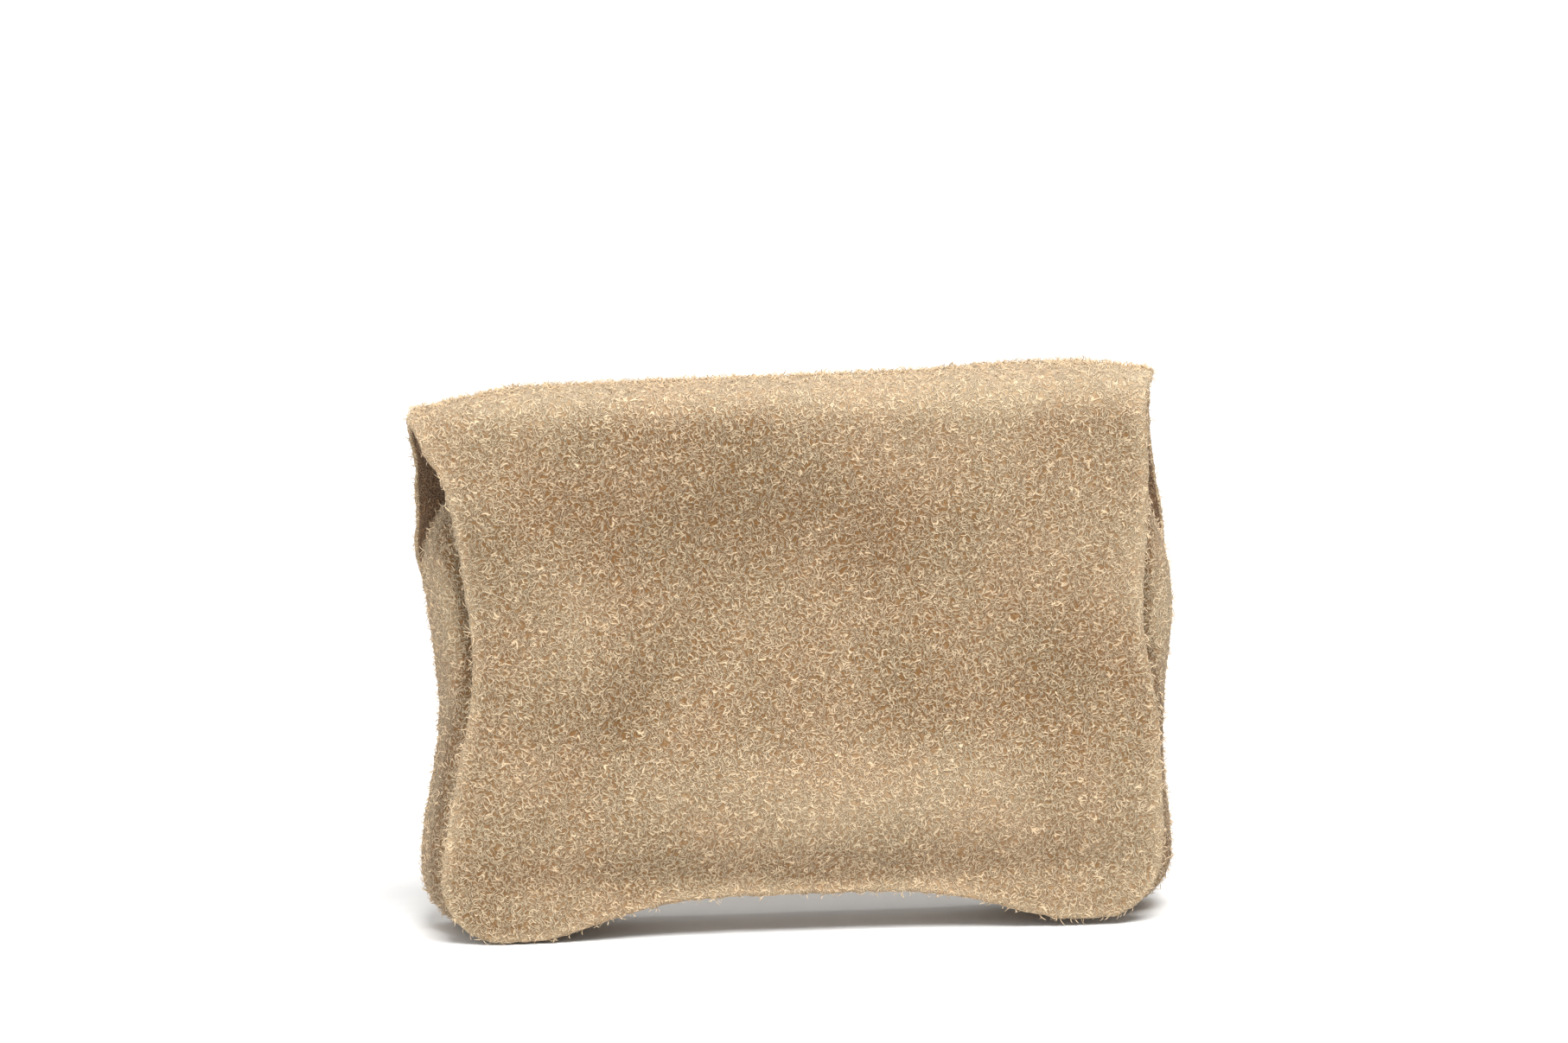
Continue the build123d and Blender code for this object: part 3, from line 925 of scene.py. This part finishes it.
def build_flap():
    """Front half of the fold and the flap, in one sheet of suede."""
    grid, quads, butt = draped_grid(
        flap_shape(), FRONT_MID_Y, SUEDE_THICK / 2, sizes().grain, flap_relief)
    verts, faces = suede_solid(grid, quads, butt, SUEDE_THICK)
    piece = add_mesh("flap_suede", verts, faces, outer_suede())
    # Painted light and shade on the flap, plus its pale edge band with painted bounce light.
    edge_pale_and_lit = edge_paleness_and_painted_light(len(grid), np.count_nonzero(butt), sizes().grain)
    store_lay_and_painted_light(piece, len(grid), flap_painted_light_and_shade(grid[:, 0], grid[:, 2]) + edge_pale_and_lit)
    paint_inside(piece, len(grid), shaded_inner_suede())
    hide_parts("flap_outer")
    blend_over_front(piece)


def paint_inside(piece, size, material):
    """Gives the sheet's inner face the flesh side's finish, darkened as painted shade."""
    piece.data.materials.append(material)
    for face in piece.data.polygons:
        if all(size <= index < 2 * size for index in face.vertices):
            face.material_index = 1


def facing_relief(x, z):
    """The facing follows the flap, but lies flat against the snap's plate."""
    return flap_relief(x, z) * (1 - near_snap(x, z, 22 * MM))


def facing_solid(grid, quads, butt):
    """A facing as a closed solid, just inside the sheet that the grid lies in."""
    depth = (SUEDE_THICK + FACING_THICK) / 2 + FACING_GAP
    grid = grid - vertex_normals(grid, quads) * depth
    return thicken(grid, quads, FACING_THICK / 2, FACING_THICK / 2, butt, 4)


def build_facings():
    """Thinner suede under the fold and inside the flap."""
    grid, quads, butt = draped_grid(
        flap_shape(), FRONT_MID_Y, FACING_INSET, FACING_STEP, facing_relief)
    flap = add_mesh("flap_facing", *facing_solid(grid, quads, butt), shaded_inner_suede())
    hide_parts("flap_lining")
    blend_over_front(flap)
    grid, quads, butt = draped_grid(
        back_shape(), BACK_MID_Y, FACING_INSET, FACING_STEP, back_relief)
    kept = quads[:, 0] // np.count_nonzero(butt) < FACING_ROWS
    used, quads = np.unique(quads[kept], return_inverse=True)
    solid = facing_solid(grid[used], quads.reshape(-1, 4), butt[used])
    fold = add_mesh("fold_facing", *solid, shaded_inner_suede())
    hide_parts("fold_lining")
    width, _ = draped_cut(back_shape(), BACK_MID_Y, FACING_INSET)
    blend_over_back(fold)


def tray_surface(shape, steps, top_z, rings, front_inset, front_y, relief):
    """A panel with turned sides: rings of (inset, y) round three sides, then its front."""
    down, across = steps
    points, loops = [], []
    count = 0
    for inset, y in rings:
        left, bottom, right = outline(shape, inset, top_z, down, across)
        line = np.concatenate([left, bottom[1:-1], right[::-1]])
        points.append(np.stack([line[:, 0], np.full(len(line), y), line[:, 1]], axis=1))
        loops.append(count + np.arange(len(line)))
        count += len(line)
    grid = panel_grid(shape, front_inset, top_z, down, across)
    rows, columns = grid.shape[:2]
    index = count + np.arange(rows * columns).reshape(rows, columns)
    loops.append(np.concatenate([index[:, 0], index[-1, 1:-1], index[::-1, -1]]))
    y = front_y - relief(grid[..., 0], grid[..., 1])
    points.append(np.stack([grid[..., 0], y, grid[..., 1]], axis=-1).reshape(-1, 3))
    quads = [grid_quads(rows, columns, count)]
    for outer, inner in zip(loops[:-1], loops[1:]):
        quads.append(np.stack([outer[:-1], outer[1:], inner[1:], inner[:-1]], axis=1))
    return np.concatenate(points), np.concatenate(quads)


def rolled_side(start_inset, back_y, front_y, roll, count, power=2.6):
    """Rings of a turned side, from the seam at the back to the edge of the front."""
    rings = []
    for turn in np.linspace(0, math.pi / 2, count)[:-1]:
        inset = start_inset + roll * (1 - math.cos(turn) ** (2 / power))
        rings.append((inset, back_y + (front_y - back_y) * math.sin(turn) ** (2 / power)))
    return rings


SEAM_ALLOWANCE = (4.6, 3.8, 3.0, 2.2, 1.4, 0.9)     # insets in millimetres, inmost first
HEM_ROOM = 1.6 * MM         # the hem's edge, below its thread


def build_pouch_front():
    """The puffed front, turned at its sides and base, with a hem folded in at the mouth."""
    s = sizes()
    half = SUEDE_THICK / 2
    seam_y = FRONT_HIGH.y - half
    front_y = FRONT_LOW.y + half
    allowance = [(inset * MM, seam_y) for inset in SEAM_ALLOWANCE]
    rings = allowance + rolled_side(half, seam_y - 0.1 * MM, front_y, s.side_round, 22)
    steps = (int(74 * MM / s.grain), int(112 * MM / s.grain))
    front_inset = half + s.side_round
    points, quads = tray_surface(
        pouch_shape(), steps, MOUTH_Z - half, rings, front_inset, front_y, pouch_relief)
    # Painted light on the pouch's upper part, and a painted shadow line beside the flap's edge.
    pouch_light_and_shadow = pouch_painted_light_and_shadow(points)
    points = slump(points)
    hem = ease((points[:, 2] - HEM_THREAD_LOW.z + HEM_ROOM) / (0.7 * MM))
    face = ease((seam_y - 4 * MM - points[:, 1]) / (3 * MM))
    inner = half + SUEDE_THICK * hem * face
    verts, faces = thicken(points, quads, half, inner)
    normals = vertex_normals(verts, faces)
    keep = 1 - near_snap(verts[:, 0], verts[:, 2], 10 * MM) * (verts[:, 1] < 0)
    verts = raise_nap(verts, normals, s.nap, keep)
    piece = add_mesh("pouch_front_suede", verts, faces, outer_suede())
    store_lay_and_painted_light(piece, len(points), pouch_light_and_shadow)
    paint_inside(piece, len(points), shaded_inner_suede())
    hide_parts("front_panel")
    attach(piece, "pouch")


class WALLET_OT_back(Operator):
    """Make the back panel and the back half of the fold"""

    bl_idname = "wallet.back"
    bl_label = "Back panel"

    def execute(self, context):
        build_back()
        return {"FINISHED"}


class WALLET_OT_flap(Operator):
    """Make the flap and the front half of the fold"""

    bl_idname = "wallet.flap"
    bl_label = "Flap"

    def execute(self, context):
        build_flap()
        return {"FINISHED"}


class WALLET_OT_facings(Operator):
    """Make the thinner suede that faces the flap and the fold"""

    bl_idname = "wallet.facings"
    bl_label = "Facings"

    def execute(self, context):
        build_facings()
        return {"FINISHED"}


class WALLET_OT_pouch_front(Operator):
    """Make the pouch's puffed front with its hemmed mouth"""

    bl_idname = "wallet.pouch_front"
    bl_label = "Pouch front"

    def execute(self, context):
        build_pouch_front()
        return {"FINISHED"}


# ---------------------------------------------------------------- lining, pocket and thread
def build_linings():
    cotton = finish_of("cotton_lining", cotton_material, tuple(colours().cotton))
    half = COTTON_THICK / 2
    front_y = LINING_LOW.y + half
    roll = sizes().side_round - 1.0 * MM
    rings = rolled_side(1.7 * MM, LINING_HIGH.y, front_y, roll, 12)
    front_inset = sizes().side_round + 0.7 * MM
    points, quads = tray_surface(
        pouch_shape(), (48, 80), LINING_HIGH.z, rings, front_inset, front_y, no_relief)
    wave = np.array([noise.noise(Vector(p) * 90) for p in points]) * 0.25 * MM
    points = points - vertex_normals(points, quads) * (wave[:, None] + 0.1 * MM)
    verts, faces = thicken(points, quads, half, half, None, 3)
    front = add_mesh("lining_front_cotton", verts, faces, cotton)
    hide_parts("lining_front")
    low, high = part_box("lining_back")
    grid = panel_grid(pouch_shape(), 5.6 * MM, high.z - COTTON_THICK, 60, 100)
    y = np.full(grid.shape[:2], (low.y + high.y) / 2 - 0.1 * MM)
    points = np.stack([grid[..., 0], y, grid[..., 1]], axis=-1).reshape(-1, 3)
    verts, faces = thicken(points, grid_quads(*grid.shape[:2]), half, half, None, 3)
    back = add_mesh("lining_back_cotton", verts, faces, cotton)
    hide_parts("lining_back")
    for piece in (front, back):
        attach(piece, "pouch")


def pocket_surface():
    """Patch pocket for cards: flat where it is sewn, and bowed out where cards go."""
    columns, rows = 90, 46
    edge_in = 0.4 * MM
    bow = 1.1 * MM
    top_dip = 0.9 * MM
    half = (POCKET_HIGH.x - POCKET_LOW.x) / 2 - edge_in
    x = np.linspace(-half, half, columns + 1)
    z = np.linspace(POCKET_HIGH.z - edge_in, POCKET_LOW.z + edge_in, rows + 1)
    across, down = np.meshgrid(x, z)
    edge = np.minimum(half - np.abs(across), down - z[-1])
    dip = top_dip * ridge(across, 0, 14) * climb(down, 50, 58)
    y = POCKET_HIGH.y - 0.5 * MM - bow * climb(edge, 1.2, 4.2)
    points = np.stack([across, y, down - dip], axis=-1).reshape(-1, 3)
    return points, grid_quads(rows + 1, columns + 1)


def build_card_pocket():
    points, quads = pocket_surface()
    verts, faces = thicken(points, quads, 0.4 * MM, 0.4 * MM)
    verts = raise_nap(verts, vertex_normals(verts, faces), 0.06 * MM)
    piece = add_mesh("card_pocket_suede", verts, faces, shaded_inner_suede())
    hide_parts("card_pocket")
    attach(piece, "pouch")


STITCH_STEPS = 40           # steps of the seam's line to one stitch
STITCH_POINTS = 11
PLY_TURNS = 2.2             # turns of the plies over one stitch


def stitch_paths(line, normal):
    """Two twisted plies for each stitch along a line; the ends dive into the sheet."""
    s = sizes()
    run = np.linalg.norm(np.diff(line, axis=0), axis=1).sum()
    count = max(int(round(run / s.stitch_pitch)), 1)
    fine = resample(line, count * STITCH_STEPS)
    share = np.linspace(-0.5, 0.5, STITCH_POINTS)
    lift = s.thread_radius * (2.2 - 9.0 * np.abs(share * 2) ** 6)
    paths = []
    for index in range(count):
        middle = index * STITCH_STEPS + STITCH_STEPS // 2
        way = fine[middle + 6] - fine[middle - 6]
        way = way / np.linalg.norm(way)
        side = np.cross(way, normal)
        base = fine[middle] + np.outer(share * s.stitch_length, way) + np.outer(lift, normal)
        turn = share * 2 * math.pi * PLY_TURNS + index
        for ply in (0, math.pi):
            twist = np.outer(np.cos(turn + ply), side) + np.outer(np.sin(turn + ply), normal)
            paths.append(base + twist * s.thread_radius * 0.8)
    return paths


def add_stitches(name, lines, normal, replaced):
    paths = [path for line in lines for path in stitch_paths(line, np.array(normal, float))]
    paths = np.array(paths)
    radii = np.full(paths.shape[:2], sizes().thread_radius)
    radii[:, [0, -1]] *= 0.5
    verts, faces = tubes(paths, radii, 6)
    thread = finish_of("sewing_thread", thread_material, tuple(colours().thread))
    piece = add_mesh(name, verts, faces, thread)
    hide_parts(replaced)
    return piece


def seam_line(shape, inset, top_z, y):
    left, bottom, right = outline(shape, inset, top_z, 120, 160)
    line = np.concatenate([left, bottom[1:-1], right[::-1]])
    return np.stack([line[:, 0], np.full(len(line), y), line[:, 1]], axis=1)


def build_threads():
    forward = (0.0, -1.0, 0.0)
    z = np.full(120, (HEM_THREAD_LOW.z + HEM_THREAD_HIGH.z) / 2)
    x = np.linspace(HEM_THREAD_LOW.x, HEM_THREAD_HIGH.x, 120)
    hem = slump(np.stack([x, FRONT_LOW.y - pouch_relief(x, z), z], axis=1))
    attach(add_stitches("mouth_hem_stitches", [hem], forward, "mouth_hem_thread"), "pouch")
    low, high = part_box("card_pocket_thread")
    side_x = low.x + 0.4 * MM
    base_x, base_z = high.x - 1.5 * MM, low.z + 0.3 * MM
    y = POCKET_HIGH.y - 0.95 * MM
    left = np.linspace((side_x, y, POCKET_HIGH.z - 1 * MM), (side_x, y, low.z + 1 * MM), 60)
    right = left * np.array([-1, 1, 1])
    base = np.linspace((low.x + 1.5 * MM, y, base_z), (base_x, y, base_z), 60)
    pocket = add_stitches("card_pocket_stitches", [left, base, right], forward,
                          "card_pocket_thread")
    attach(pocket, "pouch")
    seam = seam_line(pouch_shape(), 3.2 * MM, MOUTH_Z - 3 * MM, FRONT_HIGH.y - SUEDE_THICK)
    body = add_stitches("body_seam_stitches", [seam], forward, "body_seam_thread")
    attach(body, "pouch")
    line = seam_line(flap_shape(), 3.6 * MM, FOLD_SPRING - 6 * MM, 0.0)
    inside = FRONT_MID_Y + SUEDE_THICK / 2 + FACING_THICK + 0.1 * MM
    x, _, z = line.T
    line[:, 1] = inside - facing_relief(x, z) * hanging(z)
    flap = add_stitches("flap_seam_stitches", [slump(line)], (0.0, 1.0, 0.0),
                        "flap_seam_thread")
    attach(flap, "flap")


class WALLET_OT_linings(Operator):
    """Make the two halves of the cotton lining"""

    bl_idname = "wallet.linings"
    bl_label = "Linings"

    def execute(self, context):
        build_linings()
        return {"FINISHED"}


class WALLET_OT_card_pocket(Operator):
    """Make the card pocket on the back lining"""

    bl_idname = "wallet.card_pocket"
    bl_label = "Card pocket"

    def execute(self, context):
        build_card_pocket()
        return {"FINISHED"}


class WALLET_OT_threads(Operator):
    """Sew every visible row of stitches"""

    bl_idname = "wallet.threads"
    bl_label = "Stitching"

    def execute(self, context):
        build_threads()
        return {"FINISHED"}


# ---------------------------------------------------------------- snap
def dress_snap():
    """Finishes for the snap's metal, magnet and patches, whose shapes are already right."""
    c = colours()
    brass = finish_of("light_brass", metal_material, tuple(c.brass), 0.22, 0.08)
    steel = finish_of("plated_steel", metal_material, (0.62, 0.62, 0.63), 0.28, 0.2)
    magnet = finish_of("magnet_black", metal_material, (0.09, 0.09, 0.1), 0.5, 0.2)
    felt = finish_of("reinforcement_felt", felt_material, (0.10, 0.09, 0.08))
    wanted = {
        "snap_socket_shell": brass, "snap_socket_base": brass, "snap_stud_plate": brass,
        "snap_socket_washer": steel, "snap_stud_washer": steel, "snap_socket_magnet": magnet,
        "snap_socket_patch": felt, "snap_stud_patch": felt,
    }
    for node, material in wanted.items():
        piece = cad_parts[node]
        if not piece.material_slots:
            raise RuntimeError(f"{node} has no material slot")
        for slot in piece.material_slots:
            slot.material = material


class WALLET_OT_snap(Operator):
    """Give the snap's pieces their brass, steel and felt"""

    bl_idname = "wallet.snap"
    bl_label = "Magnetic snap"

    def execute(self, context):
        dress_snap()
        return {"FINISHED"}


# ---------------------------------------------------------------- loose fibres
def face_values(mesh, name, size):
    values = np.empty(len(mesh.polygons) * size)
    mesh.polygons.foreach_get(name, values)
    return values


def surface_samples(piece, count, seed, weigh):
    """Random places on a piece's faces and their normals, denser where weigh is higher."""
    centre = face_values(piece.data, "center", 3).reshape(-1, 3)
    normal = face_values(piece.data, "normal", 3).reshape(-1, 3)
    chance = face_values(piece.data, "area", 1) * weigh(normal)
    random = np.random.default_rng(seed)
    chosen = random.choice(len(chance), count, p=chance / chance.sum())
    jitter = (random.random((count, 3)) - 0.5) * 0.4 * MM
    jitter -= normal[chosen] * np.sum(jitter * normal[chosen], axis=1, keepdims=True)
    return centre[chosen] + jitter, normal[chosen], random


FIBRE_RADIUS = 0.07 * MM
FIBRE_ROOT = 0.06 * MM      # how deep a fibre starts under the surface
FIBRE_TAPER = np.array([1.0, 1.0, 0.9, 0.7, 0.25])
NEARLY_STRAIGHT = 1e-6      # keeps a straight fibre's bend from dividing by zero


def fibre_tubes(places, normals, random, length):
    """Short curled fibres, rooted under the surface and tapered to their tips."""
    count = len(places)
    steps = len(FIBRE_TAPER)
    free = random.normal(size=(count, 3))
    flat = free - normals * np.sum(free * normals, axis=1, keepdims=True)
    flat /= np.maximum(np.linalg.norm(flat, axis=1, keepdims=True), 1e-9)
    side = np.cross(flat, normals)
    reach = length * random.uniform(0.45, 1.25, (count, 1))
    bend = random.uniform(-1.5, 1.5, (count, 1))
    tilt = random.uniform(0.3, 1.0, (count, 1))
    paths = np.empty((count, steps, 3))
    for index, t in enumerate(np.linspace(0, 1, steps)):
        along = np.sin(bend * t + NEARLY_STRAIGHT) / (bend + NEARLY_STRAIGHT)
        swing = (1 - np.cos(bend * t)) / (bend + NEARLY_STRAIGHT)
        lift = tilt * t * (1 - 0.35 * t)
        step = flat * along * np.sqrt(1 - tilt ** 2 * 0.8) + side * swing + normals * lift
        paths[:, index] = places + step * reach - normals * FIBRE_ROOT
    radii = FIBRE_RADIUS * random.uniform(0.7, 1.3, (count, 1)) * FIBRE_TAPER
    return tubes(paths, radii, 3)


def edge_weight(normal):
    """Fibres crowd where a sheet is cut or turned, and are thin on its open faces."""
    rim = 1 - np.abs(normal[:, 1])
    return 0.10 + 4.0 * rim ** 1.5


def build_fibres():
    s = sizes()
    pale = tuple(min(channel * 1.12, 1.0) for channel in colours().suede_tip)
    fuzz = finish_of("loose_suede_fibre", fibre_material, pale)
    plans = (
        ("flap_suede", "flap_edge_fibres", 11, blend_over_front),
        ("back_and_fold_suede", "back_edge_fibres", 23, blend_over_back),
        ("pouch_front_suede", "pouch_edge_fibres", 37, None),
    )
    for source, name, seed, bend in plans:
        base = bpy.data.objects[source]
        places, normals, random = surface_samples(base, s.fibre_count, seed, edge_weight)
        verts, faces = fibre_tubes(places, normals, random, s.fibre_length)
        piece = add_mesh(name, above_floor(verts), faces, fuzz)
        if bend:
            bend(piece)
        else:
            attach(piece, "pouch")


class WALLET_OT_fibres(Operator):
    """Scatter loose fibres along the suede's edges"""

    bl_idname = "wallet.fibres"
    bl_label = "Loose fibres"

    def execute(self, context):
        build_fibres()
        return {"FINISHED"}


# ---------------------------------------------------------------- stage
def stage_floor():
    """A pale sweep: level under the wallet, then curving up behind it."""
    material, tree, shader, place = new_material("studio_sweep")
    grain = noise_field(tree, place, 240.0, 2.0)
    feed(tree, shader, {
        "Base Color": mix_colours(tree, grain, (0.90, 0.90, 0.895), (0.93, 0.93, 0.925)),
        "Roughness": 0.85, "Specular IOR Level": 0.1})
    half, near, far, rise, radius = 3.0, -3.0, 1.6, 2.6, 0.9
    turn = np.linspace(0, math.pi / 2, 24)
    y = np.concatenate([[near], far - radius + radius * np.sin(turn), [far]])
    z = np.concatenate([[0.0], radius * (1 - np.cos(turn)), [rise]])
    verts = np.array([(x, b, c) for b, c in zip(y, z) for x in (-half, half)])
    index = np.arange(len(verts)).reshape(-1, 2)
    faces = np.stack([index[:-1, 0], index[:-1, 1], index[1:, 1], index[1:, 0]], axis=1)
    floor = add_mesh("studio_sweep", verts, faces, material)


SOFTBOXES = (               # power names a setting of the stage
    Softbox("top_softbox", (0.10, -0.50, 0.98), (0, 0, 0.03), (0.7, 0.5), "top_light"),
    Softbox("front_softbox", (-0.5, -1.3, 0.7), (0, 0, 0.04), (1.0, 0.8), "front_light"),
    Softbox("side_softbox", (-1.1, -0.35, 0.45), (0, 0, 0.04), (0.6, 0.8), "side_light"),
    Softbox("backdrop_softbox", (0.0, 0.5, 1.3), (0, 1.6, 0.7), (1.6, 0.6), "backdrop_light"),
)


def add_softbox(box, power):
    light = bpy.data.lights.new(box.name, "AREA")
    light.shape = "RECTANGLE"
    light.size, light.size_y = box.size
    light.energy = power
    lamp = bpy.data.objects.new(box.name, light)
    lamp.location = box.place
    way = Vector(box.aim) - Vector(box.place)
    lamp.rotation_euler = way.to_track_quat("-Z", "Y").to_euler()
    bpy.context.scene.collection.objects.link(lamp)


def stage_light():
    stage = bpy.context.scene.wallet_stage
    world = bpy.data.worlds.new("studio_room")
    world.use_nodes = True
    background = world.node_tree.nodes["Background"]
    background.inputs["Color"].default_value = (1.0, 0.995, 0.985, 1.0)
    background.inputs["Strength"].default_value = stage.sky
    bpy.context.scene.world = world
    for box in SOFTBOXES:
        add_softbox(box, getattr(stage, box.power))
    bpy.context.scene.view_settings.view_transform = "Standard"


AIM_LEFT = 2.4 * MM         # the camera's aim, from the middle of the CAD's box
AIM_ABOVE = 20.9 * MM


def stage_camera():
    stage = bpy.context.scene.wallet_stage
    middle_z = (CAD_BOX[0].z + CAD_BOX[1].z) / 2
    aim = Vector((-AIM_LEFT, 0.0, middle_z + AIM_ABOVE))
    back = Vector((math.sin(stage.azimuth) * math.cos(stage.elevation),
                   -math.cos(stage.azimuth) * math.cos(stage.elevation),
                   math.sin(stage.elevation)))
    data = bpy.data.cameras.new("camera")
    data.sensor_width = 36.0
    data.lens = data.sensor_width * stage.distance / stage.field_width
    camera = bpy.data.objects.new("camera", data)
    camera.location = aim + back * stage.distance
    look = (-back).to_track_quat("-Z", "Y").to_matrix()
    camera.rotation_euler = (look @ Matrix.Rotation(-stage.roll, 3, "Z")).to_euler()
    bpy.context.scene.collection.objects.link(camera)
    bpy.context.scene.camera = camera


class WALLET_OT_stage(Operator):
    """Set the floor, the studio light and the camera"""

    bl_idname = "wallet.stage"
    bl_label = "Stage"

    def execute(self, context):
        stage_floor()
        stage_light()
        stage_camera()
        return {"FINISHED"}


# ---------------------------------------------------------------- sidebar
class WALLET_PT_sidebar(Panel):
    """The wallet's settings and pieces"""

    bl_idname = "WALLET_PT_sidebar"
    bl_label = "Suede Flap Wallet"
    bl_space_type = "VIEW_3D"
    bl_region_type = "UI"
    bl_category = "Wallet"

    def draw(self, context):
        scene = context.scene
        for title, group in (("Sizes", scene.wallet_sizes), ("Colours", scene.wallet_colours),
                             ("Stage", scene.wallet_stage)):
            box = self.layout.box()
            box.label(text=title)
            for key in group.__annotations__:
                box.prop(group, key)
        for operator in OPERATORS:
            self.layout.operator(operator.bl_idname)


OPERATORS = (
    WALLET_OT_stage,
    WALLET_OT_back,
    WALLET_OT_flap,
    WALLET_OT_facings,
    WALLET_OT_pouch_front,
    WALLET_OT_linings,
    WALLET_OT_card_pocket,
    WALLET_OT_threads,
    WALLET_OT_snap,
    WALLET_OT_fibres,
)
GROUPS = (WalletSizes, WalletColours, WalletStage)
CLASSES = GROUPS + OPERATORS + (WALLET_PT_sidebar,)


def register():
    for item in CLASSES:
        bpy.utils.register_class(item)
    bpy.types.Scene.wallet_sizes = PointerProperty(type=WalletSizes)
    bpy.types.Scene.wallet_colours = PointerProperty(type=WalletColours)
    bpy.types.Scene.wallet_stage = PointerProperty(type=WalletStage)


def unregister():
    del bpy.types.Scene.wallet_stage
    del bpy.types.Scene.wallet_colours
    del bpy.types.Scene.wallet_sizes
    for item in reversed(CLASSES):
        bpy.utils.unregister_class(item)


def main():
    register()
    for operator in OPERATORS:
        getattr(bpy.ops.wallet, operator.bl_idname.split(".")[1])()


if __name__ == "__main__":
    main()
